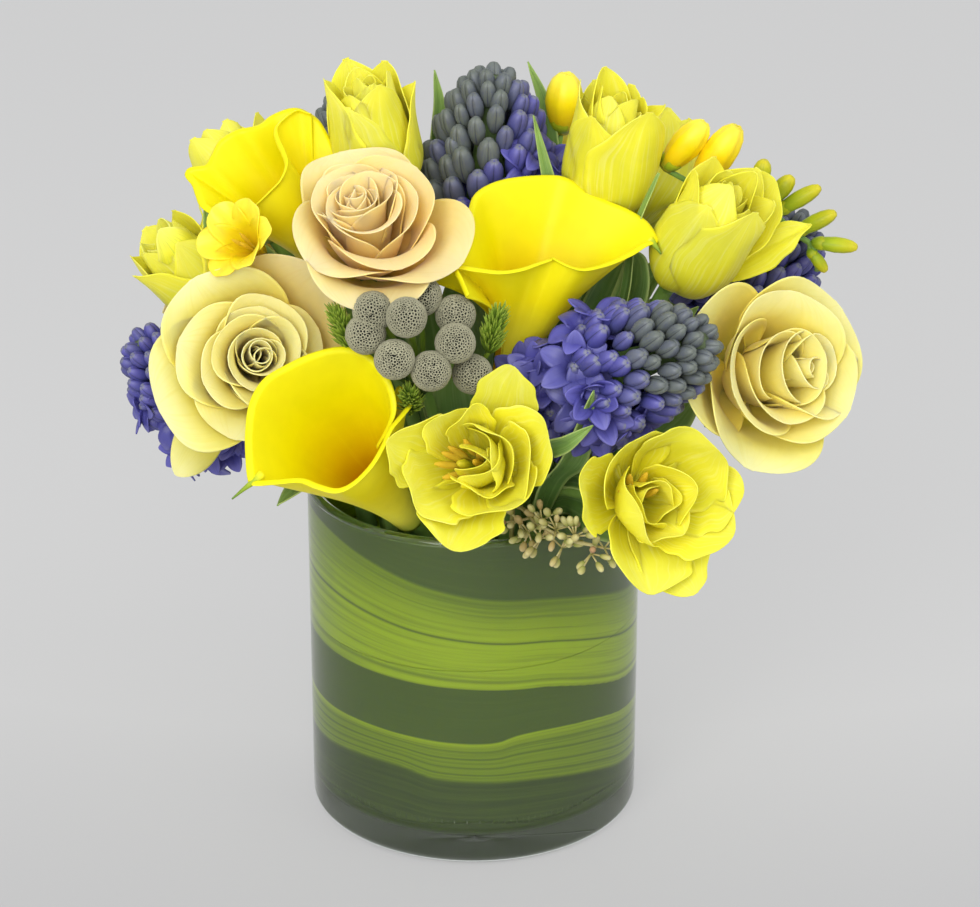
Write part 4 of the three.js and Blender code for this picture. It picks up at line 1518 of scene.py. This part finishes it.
@dataclass
class Freesia:
    """A freesia: its stem bends over into a comb of flowers and buds."""

    name: str
    comb: tuple[Vec, ...]
    buds: tuple[tuple[Any, ...], ...]  # tip of each one, half of its width, and its foot if not on the stem
    ripe: float = 7.0  # a bud at least this wide is yellow
    open: bool = False
    stalk: float = 1.8

    def build(self, materials: Looks) -> None:
        """Makes the stem with its buds."""
        shape = Shape(self.name + "_spray", self.name, "freesia_petal")
        base = Flower(self.name, self.comb[0], (0.0, 0.0, 1.0)).base()
        path = curve(np.vstack([base, self.comb]), 90)
        shape.tube(path, np.linspace(self.stalk, self.stalk * 0.6, 90), Finish.STEM, sides=10)
        for i, (tip, half, *foot) in enumerate(self.buds):
            near = path[np.argmin(np.linalg.norm(path - np.array(tip), axis=1))]
            root = np.array(foot[0], float) if foot else near
            if foot:
                shape.tube(curve([near - (0.0, 0.0, 6.0), near, root], 8), 1.2, Finish.STEM, sides=8)
            along = np.array(tip) - root
            length = float(np.linalg.norm(along))
            place = frame_at(tuple(root), tuple(along), (0.3, 0.2, 1.0))
            if self.open:
                self.flower(shape, place, length)
                continue
            tone = (i * 0.37) % 1.0  # unlike the next bud's
            if half >= self.ripe:
                bud = capsule(length, half, 3, 0.14, 30)
                stamp(shape, bud, place, Finish.FREESIA_PETAL, tone)
                for k in range(3):
                    tepal = Petal(
                        length=length * 1.03, width=half * 0.85, start=half * 0.35, lift=66.0, rise=98.0,
                        roll=-8.0, cup=1.0, broad=0.6, point=0.4, waist=0.5,
                    )
                    grid, v = tepal.grid(k * THIRD + 0.6 * i, 0.0, 13, 20)
                    shape.sheet(moved(grid, place), 0.5, Finish.FREESIA_PETAL, 0.3 * k, v)
            else:
                bud = capsule(length, half * 0.9, 3, 0.12, 18)
                stamp(shape, bud, place, Finish.FREESIA_BUD, tone)
            calyx = capsule(min(10.0, length * 0.4), half * 0.7 + 0.4, 2, 0.1, 12)
            stamp(shape, calyx, place, Finish.FREESIA_BUD, 0.4)
        shape.build(materials)

    def flower(self, shape: Shape, place: np.ndarray, length: float) -> None:
        """Adds one open flower of six petals.

        Args:
            shape: the piece it goes into.
            place: the matrix that sets it on the stem.
            length: its length from the stem to its mouth.
        """
        rng = np.random.default_rng(5)
        for k in range(6):
            petal = Petal(
                length=length + 14.0, width=8.5 + rng.normal() * 0.5, start=1.0, foot=0.0, lift=84.0,
                rise=62.0, roll=34.0 + 6 * rng.normal(), roll_from=0.5, cup=0.8, point=0.1,
                broad=0.7, waist=0.2, ruffle=0.8, thick=0.5,
            )
            grid, v = petal.grid(k * math.pi / 3, rng.uniform(0, ROUND), 13, 20)
            shape.sheet(moved(grid, place), 0.45, Finish.FREESIA_PETAL, rng.random(), v)
        for k in range(3):
            turn = THIRD * k
            r, z = np.linspace(0.5, 2.5, 6), np.linspace(6.0, length + 4.0, 6)
            path = moved(np.stack([r * math.cos(turn), r * math.sin(turn), z], -1), place)
            shape.tube(path, np.array([0.4, 0.4, 0.5, 0.9, 0.9, 0.3]), Finish.STAMEN, sides=8)


@dataclass
class Brunia:
    """Grey woolly balls and tufts of green needles on one forked stem."""

    top: Vec = (-21.0, -62.0, 230.0)
    ball: float = 8.9
    scales: int = 430  # on each ball
    balls: tuple[Vec, ...] = (
        (-41, -87, 271), (-27, -94, 271), (-21, -77, 274), (-7, -78, 266), (-44, -90, 262),
        (-32, -98, 254), (-7, -90, 258), (-17, -96, 248), (0, -82, 241),
    )
    tufts: tuple[tuple[Vec, Vec], ...] = (  # foot and tip of each one
        ((-50, -78, 250), (-56, -85, 269)),
        ((6, -74, 246), (11, -82, 268)),
        ((-26, -78, 222), (-26, -92, 236)),
    )
    needles: int = 260  # on each tuft
    needle_girth: tuple[float, ...] = (0.5, 0.55, 0.45, 0.12)

    def scale(self) -> Any:
        """Returns the pattern of one woolly cell: a light rim round a pit painted dark as shade."""
        rings, sides = ((0.9, -0.7), (0.88, 0.3), (0.72, 0.42), (0.4, -0.15)), 6
        turn = np.linspace(0, CIRCLE, sides, endpoint=False)
        points = np.array([(r * math.cos(a), r * math.sin(a), z) for r, z in rings for a in turn])
        points = np.vstack([points, [0, 0, -0.35]])
        at, after, wall = stacked(len(rings), sides)
        pit = np.stack([at[-1], after[-1], np.full(sides, len(points) - 1)], -1)
        # low values paint shade: dark in the pit and at the cell's foot, between the cells
        v = np.concatenate([np.repeat([0.3, 0.75, 1.0, 0.2], sides), [0.0]])
        return points, (wall, pit), np.stack([v, np.full(len(v), 0.5), np.zeros(len(v))], -1)

    def build(self, materials: Looks) -> None:
        """Makes the sprig."""
        shape = Shape("brunia_balls", "brunia_sprig", "brunia")
        rng = np.random.default_rng(11)
        crown = np.array(self.top)
        base = Flower("brunia", self.top, (0.0, 0.0, 1.0)).base()
        shape.tube(curve(np.vstack([base, crown]), 30), 2.6, Finish.STEM, sides=12)
        fork = crown - (0.0, 0.0, 5.2)
        scale = self.scale()
        core = self.ball - 0.8
        for spot in self.balls:
            middle = np.array(spot, float)
            shape.tube(curve([fork, mix(crown, middle, 0.5), middle], 10), 1.3, Finish.NEEDLE, sides=8)
            spin = rng.uniform(0, ROUND)
            axis = frame_at(tuple(middle), tuple(unit(middle - crown + (0, -6, 12))))
            stamp(shape, self.egg(core), axis, Finish.BRUNIA, 0.5)
            for k in range(self.scales):
                h = 1 - 2 * (k + 0.5) / self.scales
                r = math.sqrt(1 - h * h)
                way = np.array([r * math.cos(k * GOLDEN + spin), r * math.sin(k * GOLDEN + spin), h])
                way = unit(way + 0.022 * rng.normal(size=3))
                size = 1.0 + 0.1 * rng.normal()
                cone = frame_at(tuple(way * core), tuple(way), (0.2, 0.9, 0.3), size)
                stamp(shape, scale, axis @ cone, Finish.BRUNIA, 0.5)
        for foot, spot in self.tufts:
            tip, root = np.array(spot, float), np.array(foot, float)
            shape.tube(curve([fork, mix(fork, root, 0.6), root, tip], 14), 1.1, Finish.NEEDLE, sides=8)
            lean = unit(tip - root)
            for _ in range(self.needles):
                t = rng.uniform(0.0, 0.9)
                start = mix(root, tip, t)
                around = unit(rng.normal(size=3))
                way = unit(lean * 1.6 + around)
                length = mix(10.0, 6.5, t) * rng.uniform(0.8, 1.15)
                bent = [start, start + way * length * 0.6, start + way * length + lean * 1.4]
                shape.tube(curve(bent, 4), np.array(self.needle_girth), Finish.NEEDLE, rng.random(), 4)
        shape.build(materials)

    def egg(self, radius: float) -> Any:
        """Returns the pattern of the ball under the scales."""
        sides, rings = 20, len(BUD_OUTLINE)
        points, faces, marks = capsule(2 * radius, radius, 1, 0.0, sides)
        polar = np.linspace(0.12, math.pi - 0.12, rings)
        turn = np.linspace(0, CIRCLE, sides, endpoint=False)
        r = (radius * np.sin(polar))[:, None]
        z = np.broadcast_to((-radius * np.cos(polar))[:, None], (rings, sides))
        points[:-2] = np.stack([r * np.cos(turn), r * np.sin(turn), z], -1).reshape(-1, 3)
        points[-2:] = (0, 0, -radius), (0, 0, radius)
        # the ball's along is 0 all over, so it is painted near-black, as shade under the scales
        return points, faces, marks * (0.0, 1.0, 1.0)


@dataclass
class Eucalyptus:
    """A twig of eucalyptus that hangs over the rim with clusters of small seed buds."""

    twig: tuple[Vec, ...] = ((20, -60, 170), (28, -80, 171), (40, -86, 167), (53, -85, 163))
    neck: Pair = (17.0, -47.0)
    seeds: tuple[Vec, ...] = (
        (13, -80, 171), (19, -86, 166), (29, -85, 179), (26, -88, 163), (36, -89, 175),
        (36, -91, 160), (45, -91, 173), (50, -90, 157), (60, -85, 161),
    )
    cluster: int = 6  # seed buds at each of them

    def build(self, materials: Looks) -> None:
        """Makes the twig and its seed buds."""
        shape = Shape("eucalyptus_seeds", "eucalyptus_sprig", "eucalyptus_seed")
        rng = np.random.default_rng(4)
        base = Flower("eucalyptus", (1, 1, 1), (0, 0, 1), neck=self.neck).base()
        path = curve(np.vstack([base, self.twig]), 70)
        shape.tube(path, np.linspace(1.2, 0.8, 70), Finish.SEED, 0.2, 8)
        for spot in self.seeds:
            tip = np.array(spot, float)
            root = path[np.argmin(np.linalg.norm(path - tip, axis=1))]
            hub = mix(root, tip, 0.45)
            shape.tube(curve([root, hub], 4), 0.6, Finish.SEED, 0.3, 6)
            for _ in range(self.cluster):
                way = unit(unit(tip - root) * 0.6 + 0.9 * rng.normal(size=3) * (1, 0.5, 1))
                end = hub + way * rng.uniform(4.0, 6.5)
                shape.tube(np.array([hub, mix(hub, end, 0.5), end]), 0.4, Finish.SEED, 0.2, 5)
                seed = capsule(rng.uniform(4.2, 5.4), rng.uniform(1.3, 1.7), 2, 0.05, 10)
                stamp(shape, seed, frame_at(tuple(end), tuple(way)), Finish.SEED, rng.random() ** 8)
        shape.build(materials)


@dataclass
class Leaf:
    """A strap-shaped leaf that grows from a stem."""

    name: str
    path: tuple[Vec, ...]
    width: float
    out: Vec  # the way its face looks
    lobe: tuple[Vec, ...] = ()  # middle line of a second, smaller blade
    lobe_share: float = 0.55  # how wide that is

    def build(self, materials: Looks) -> None:
        """Makes the leaf."""
        shape = Shape(self.name + "_blade", self.name, "leaf")
        blade(shape, self.path, self.width, self.out)
        if self.lobe:
            blade(shape, self.lobe, self.width * self.lobe_share, self.out)
        shape.build(materials)


# -------- the studio


@dataclass
class Studio:
    """A pale floor that fills the view, with a painted glow and painted shade towards its corners, and soft
    light from all round with a little more from above.
    """

    floor: str = "bababa"
    rim: str = "a8a8a9"  # painted shade: the paper's colour at the corners of the view, darker than in the middle
    painted_glow: float = 0.86  # painted light: the paper glows, though it is no lamp, which lifts the shadows on it; as a share of its colour
    thrown: float = 0.38  # light of the room that it throws back, as a share of its shade
    roughness: float = 0.9
    wide: float = 40.0  # m
    drop: float = 0.0002  # m that it lies under the vase
    bright: Vec = (0.0, 0.8, 0.0)  # middle of the part without painted shade, m
    painted_fade: Pair = (0.75, 1.0)  # where the painted shade begins and is full, m from there
    sky: float = 0.76
    sky_tint: tuple[float, ...] = (0.97, 0.98, 1.0, 1.0)
    lamp_tint: Vec = (1.0, 0.99, 0.97)
    aim: Vec = (0.0, 0.0, 0.15)  # the middle of the bouquet, m
    # name, place in m, width in m and power in W
    lamps: tuple[tuple[str, Vec, float, float], ...] = (
        ("key_softbox", (-0.5, -1.9, 1.25), 1.6, 42.0),
        ("fill_softbox", (1.3, -0.8, 1.5), 1.4, 10.5),
    )

    def paper(self) -> Any:
        """Returns the floor's material: matte paper with a painted glow that evens out the shadows on it,
        and painted shade away from its bright middle.
        """
        material, tree, shader = new_material("matte_paper")
        place = add_node(tree, "ShaderNodeNewGeometry")
        spots = {0: place.outputs["Position"], 1: self.bright}
        away = add_node(tree, "ShaderNodeVectorMath", spots, operation="DISTANCE")
        start, full = self.painted_fade
        stops = (0.0, self.floor), (start, self.floor), (full, self.rim)
        painted_fade = add_node(tree, "ShaderNodeValToRGB", {0: away.outputs["Value"]}, stops=stops)
        shares = {0: painted_fade.outputs[0], 1: (self.thrown,) * 3}
        shade = add_node(tree, "ShaderNodeVectorMath", shares, operation="MULTIPLY")
        tree.links.new(shade.outputs[0], shader.inputs["Base Color"])
        # the painted glow: the floor's colour, with its painted shade, is given off as light
        tree.links.new(painted_fade.outputs[0], shader.inputs["Emission Color"])
        shader.inputs["Emission Strength"].default_value = self.painted_glow
        shader.inputs["Roughness"].default_value = self.roughness
        return material

    def build(self) -> None:
        """Makes the floor, the world and the lamps."""
        scene = bpy.context.scene
        scene.view_settings.view_transform = "Standard"
        bpy.ops.mesh.primitive_plane_add(size=self.wide, location=(0.0, 0.0, -self.drop))
        floor = bpy.context.object
        floor.name = "studio_floor"
        floor.data.materials.append(self.paper())
        world = bpy.data.worlds.new("soft_room")
        scene.world = world
        world.use_nodes = True
        back = world.node_tree.nodes["Background"]
        back.inputs["Color"].default_value = self.sky_tint
        back.inputs["Strength"].default_value = self.sky
        for name, place, size, power in self.lamps:
            lamp = bpy.data.lights.new(name, "AREA")
            lamp.energy, lamp.size = power, size
            lamp.color = self.lamp_tint
            holder = bpy.data.objects.new(name, lamp)
            scene.collection.objects.link(holder)
            turned = frame_at((0, 0, 0), tuple(unit(np.array(place) - self.aim)))
            turned[:3, 3] = place
            holder.matrix_world = Matrix(turned.tolist())


# -------- the bouquet

EYE = Eye()

CALLAS = (
    Calla(
        "calla_front", (-28, -50, 160), (-0.36, -0.62, 0.7), (-0.75, -0.1, -0.6),
        neck=(-20.4, -36.9, 128.0), foot=(-18, -33),
        mouth=(-53, -103, 220), facing=(0.12, -0.86, 0.5), throat=17.0,
        margin=(
            (378, 446, -16), (386, 430, -8), (391, 413, -2), (388, 392, 0), (378, 373, 0), (362, 358, 0),
            (340, 354, 0), (314, 360, 0), (290, 371, 0), (269, 384, 0), (257, 404, 2), (253, 430, 4),
            (253, 455, 6), (255, 477, 8), (259, 481, 8), (280, 480, 7), (303, 479, 6), (320, 485, 6),
            (338, 489, 7), (354, 482, 8), (370, 466, 9), (381, 448, 8), (389, 430, 5), (400, 416, 0),
            (407, 405, -6), (404, 396, -12), (395, 392, -16),
        ),
        tail=((262, 474, 7), (253, 482, 8), (244, 489, 9), (232, 499, 10)),
    ),
    Calla(
        "calla_centre", (12, -34, 214), (0.3, -0.2, 0.94), (1, -0.15, 0),
        mouth=(31, -40, 290), facing=(0.1, -0.45, 0.89), throat=15.0,
        margin=(
            (438, 284, -6), (433, 280, -4), (447, 270, 0), (462, 256, 0), (470, 237, 0), (475, 213, 0),
            (481, 197, 0), (497, 187, 0), (519, 182, 0), (551, 180, 0), (566, 183, 0), (583, 194, 0),
            (602, 204, 0), (626, 214, 0), (642, 224, 0), (650, 236, 0), (650, 241, 0), (640, 245, 0),
            (626, 254, 0), (605, 264, 1), (583, 270, 4), (569, 268, 5), (557, 263, 4), (551, 261, 3),
            (538, 264, 3), (519, 270, 4), (500, 272, 4), (478, 269, 4), (454, 266, 4), (461, 284, 6),
            (467, 298, 7),
        ),
        tail=((650, 240, 0), (653, 243, 0), (657, 248, 0), (661, 254, -1)),
    ),
    Calla(
        "calla_left", (-62, -12, 262), (-0.5, -0.2, 0.84), (-1, -0.4, 0),
        mouth=(-90, -24, 303), facing=(-0.3, -0.75, 0.6), throat=14.0,
        margin=(
            (341, 186, -22), (336, 168, -20), (328, 144, -16), (318, 126, -12), (304, 116, -10),
            (291, 113, -10), (275, 119, -9), (264, 128, -6), (247, 133, 0), (233, 138, 0), (222, 146, 0),
            (216, 159, 0), (209, 169, 2), (193, 172, 4), (192, 175, 4),
            (198, 183, 4), (202, 194, 4), (206, 203, 4), (215, 210, 4), (229, 216, 5), (246, 213, 7),
            (258, 206, 8), (270, 195, 9), (281, 183, 9), (286, 169, 8), (283, 157, 7), (277, 144, 5),
            (275, 133, 2), (284, 122, -2), (298, 114, -6), (312, 118, -8),
        ),
    ),
    Calla("calla_back", (-36, 66, 184), (-0.3, 0.72, 0.62), (-0.4, 0.8, -0.4), neck=(-12, 42)),
)

ROSES = (
    Rose(
        "rose_upper", (-44, -42, 274), (0.08, -0.5, 0.86), kind=Finish.ROSE_PEACH, seed=3, lean=(-12, 8),
        guards=(
            Guard(100, 44, 24, 62, 86, 30), Guard(200, 43, 25, 56, 82, 40), Guard(20, 43, 26, 52, 84, 30),
            Guard(150, 45, 30, 44, 78, 50), Guard(290, 45, 30, 40, 74, 70), Guard(55, 47, 31, 40, 78, 40),
            Guard(225, 46, 31, 34, 66, 80), Guard(330, 50, 33, 30, 58, 70), Guard(110, 48, 32, 26, 68, 60),
            Guard(268, 47, 32, 24, 54, 90),
        ),
    ),
    Rose(
        "rose_left", (-95, -50, 233), (0.1, -0.9, 0.38), seed=8, size=1.05, lean=(4, 4), sunk=9.0,
        guards=(
            Guard(200, 42, 25, 52, 82, 50), Guard(80, 42, 26, 50, 82, 50), Guard(320, 38, 22, 54, 84, 40),
            Guard(165, 45, 30, 40, 74, 70), Guard(25, 42, 20, 40, 74, 90), Guard(255, 44, 28, 38, 72, 70),
            Guard(125, 50, 33, 30, 60, 50), Guard(205, 48, 33, 26, 58, 70), Guard(275, 38, 24, 30, 62, 60),
            Guard(52, 54, 30, 18, 52, 10, True), Guard(236, 50, 10, 12, 18, 10),
        ),
    ),
    Rose(
        "rose_right", (115, -34, 220), (0.42, -0.8, 0.4), seed=5, lean=(16, 2), heart=6, size=1.12,
        guards=(
            Guard(150, 42, 27, 60, 87, 22), Guard(20, 42, 27, 58, 86, 26), Guard(265, 43, 29, 54, 82, 30),
            Guard(200, 47, 34, 42, 76, 34), Guard(85, 47, 34, 40, 74, 40), Guard(330, 46, 34, 38, 72, 44),
            Guard(170, 54, 36, 26, 56, 30), Guard(250, 48, 35, 28, 62, 54), Guard(45, 46, 36, 27, 64, 50),
        ),
    ),
    Rose("rose_back", (18, 65, 261), (0.08, 0.5, 0.86), seed=6),
    Rose("rose_back_left", (-96, 50, 212), (-0.6, 0.66, 0.45), kind=Finish.ROSE_PEACH, seed=7),
    Rose("rose_back_right", (98, 60, 212), (0.58, 0.66, 0.48), seed=9),
)

TULIPS = (
    Tulip(
        "tulip_top_left", (-39, 4, 290), (-0.12, -0.2, 0.97), seed=21, size=1.08,
        blades=(
            (0.8, 7, ((-38, 28, 296), (-50, 30, 322), (-56, 22, 341))),
            (0.8, 7, ((-20, 26, 292), (-15, 32, 318), (-17, 34, 338))),
        ),
    ),
    Tulip(
        "tulip_top_right", (56, 1, 280), (0.1, -0.1, 0.99), seed=22, green=1, size=1.12,
        blades=(
            (0.8, 7, ((38, 28, 290), (32, 36, 320), (24, 40, 340))),
            (0.8, 7, ((38, -10, 276), (33, -8, 300), (26, -3, 329))),
        ),
    ),
    Tulip(
        "tulip_right", (86, -22, 259), (0.42, -0.34, 0.84), seed=23, size=1.12,
        placed=(Guard(8, 56, 7, 34, 60, 0), Guard(40, 56, 20, 34, 76, 0)),
        blades=((0.4, 24, ((66, -28, 184), (86, -30, 200), (100, -28, 214))),),
    ),
    Tulip(
        "tulip_left", (-104, -8, 238), (-0.6, -0.15, 0.77), seed=24, green=2, neck=(-43, 0),
        blades=((0.8, 6, ((-108, -20, 258), (-113, -23, 278), (-115, -20, 297))),),
    ),
    Tulip(
        "tulip_front", (4, -87, 200), (-0.05, -0.85, 0.52), seed=25, whorls=(), placed=OPEN,
        stamens=9, heart=(-9.0, 0.0),
        blades=((0.4, 26, ((-4, -42, 190), (-8, -44, 216), (-9, -44, 242))),),
    ),
    Tulip(
        "tulip_front_right", (66, -83, 184), (0.45, -0.8, 0.36), seed=26, whorls=(), placed=OPEN_RIGHT,
        stamens=6, heart=(-10.0, 4.0),
    ),
    Tulip("tulip_back", (72, 42, 262), (0.4, 0.42, 0.82), seed=27),
    Tulip("tulip_back_left", (-88, 26, 262), (-0.5, 0.3, 0.83), seed=28),
    Tulip(
        "tulip_back_low", (26, 88, 196), (0.15, 0.86, 0.5), seed=29, whorls=(), placed=OPEN, stamens=8,
        blades=(
            (0.4, 28, ((2, 34, 186), (-6, 40, 214), (-8, 44, 244))),
            (0.4, 26, ((30, 34, 186), (34, 40, 214), (30, 42, 244))),
            (0.4, 26, ((-30, 26, 186), (-44, 30, 208), (-56, 32, 232))),
            (0.4, 26, ((46, 22, 184), (64, 26, 204), (80, 28, 222))),
        ),
    ),
)

HYACINTHS = (
    Hyacinth(
        "hyacinth_top", (6, 20, 272), (0.04, -0.06, 1), seed=31, opened=0.12, violet=0.42, sunny=(0.4, 0.0),
    ),
    Hyacinth(
        "hyacinth_centre", (50, -66, 232), (0.72, -0.5, 0.48), size=0.92, neck=(17, -25), seed=32,
        lowest=-0.3, opened=0.34, violet=0.5, buds=150, beside=((12, -34, 214), (31, -40, 290)),
    ),
    Hyacinth(
        "hyacinth_left", (-108, -15, 191), (-0.64, -0.22, 0.74), size=0.85, neck=(-51, -11), seed=33,
        opened=0.55, violet=0.95,
    ),
    Hyacinth("hyacinth_right", (116, 18, 224), (0.5, -0.05, 0.86), size=0.85, seed=34, violet=0.75),
    Hyacinth("hyacinth_back", (-44, 44, 262), (-0.2, 0.4, 0.88), size=0.9, seed=35),
)

FREESIAS = (
    Freesia("freesia_left", ((-78, -30, 262), (-89, -39, 278)), (((-97, -52, 289), 13),), open=True),
    Freesia(
        "freesia_right",
        ((96, 4, 280), (108, 0, 285), (125, -4, 284), (136, -6, 278), (147, -8, 272), (150, -9, 266)),
        (
            ((100, -4, 326), 7, (83, 0, 304)), ((114, -6, 325), 7.5, (96, -3, 296)),
            ((126, -6, 310), 4.6, (123, -5, 296)), ((138, -8, 303), 4.6, (128, -6, 290)),
            ((150, -10, 299), 4.2, (131, -7, 286)), ((157, -12, 288), 4.2, (139, -8, 277)),
            ((167, -12, 272), 4.0, (147, -8, 273)), ((154, -10, 260), 3.2, (146, -8, 270)),
        ),
    ),
    Freesia(
        "freesia_top", ((36, 34, 290), (39, 38, 308)), (((41, 36, 336), 8.5), ((44, 46, 326), 5)),
        ripe=8.0,
    ),
    Freesia(
        "freesia_back", ((-8, 72, 222), (-11, 90, 238), (-13, 108, 240), (-14, 120, 232)),
        (((-16, 96, 266), 8), ((-10, 114, 264), 7), ((-17, 130, 252), 5), ((-16, 136, 234), 4)),
    ),
)

LEAVES = (
    Leaf(
        "leaf_front", ((29, -46, 160), (34, -65, 184), (43, -87, 206), (50, -103, 242)), 15, (0.4, -1, 0.4),
        ((34, -75, 192), (30, -94, 210), (39, -102, 218), (50, -104, 227)),
    ),
    Leaf("leaf_left", ((-49, -26, 167), (-62, -38, 174), (-74, -52, 177), (-84, -67, 174)), 15, (0, 0.3, 1)),
    Leaf("leaf_right", ((61, -17, 230), (66, -25, 256), (70, -27, 286), (79, -30, 312)), 7, (-1, -0.5, 0.3)),
    Leaf("leaf_back", ((6, 43, 160), (1, 66, 184), (-5, 90, 200), (-10, 112, 200)), 15, (0, -0.3, 1)),
)


def main() -> None:
    """Builds the bouquet, piece by piece."""
    logging.basicConfig(level=logging.INFO, format="%(message)s")
    materials = {finish: finish.value.make() for finish in Finish}
    materials[BlownGlass] = BlownGlass().make()
    materials[StrapLeaf] = StrapLeaf().make()
    EYE.build()
    Studio().build()
    Vase().build(materials)
    Liner().build(materials)
    for flower in (*CALLAS, *ROSES, *TULIPS, *HYACINTHS, *FREESIAS, Brunia(), Eucalyptus(), *LEAVES):
        flower.build(materials)


if __name__ == "__main__":
    main()
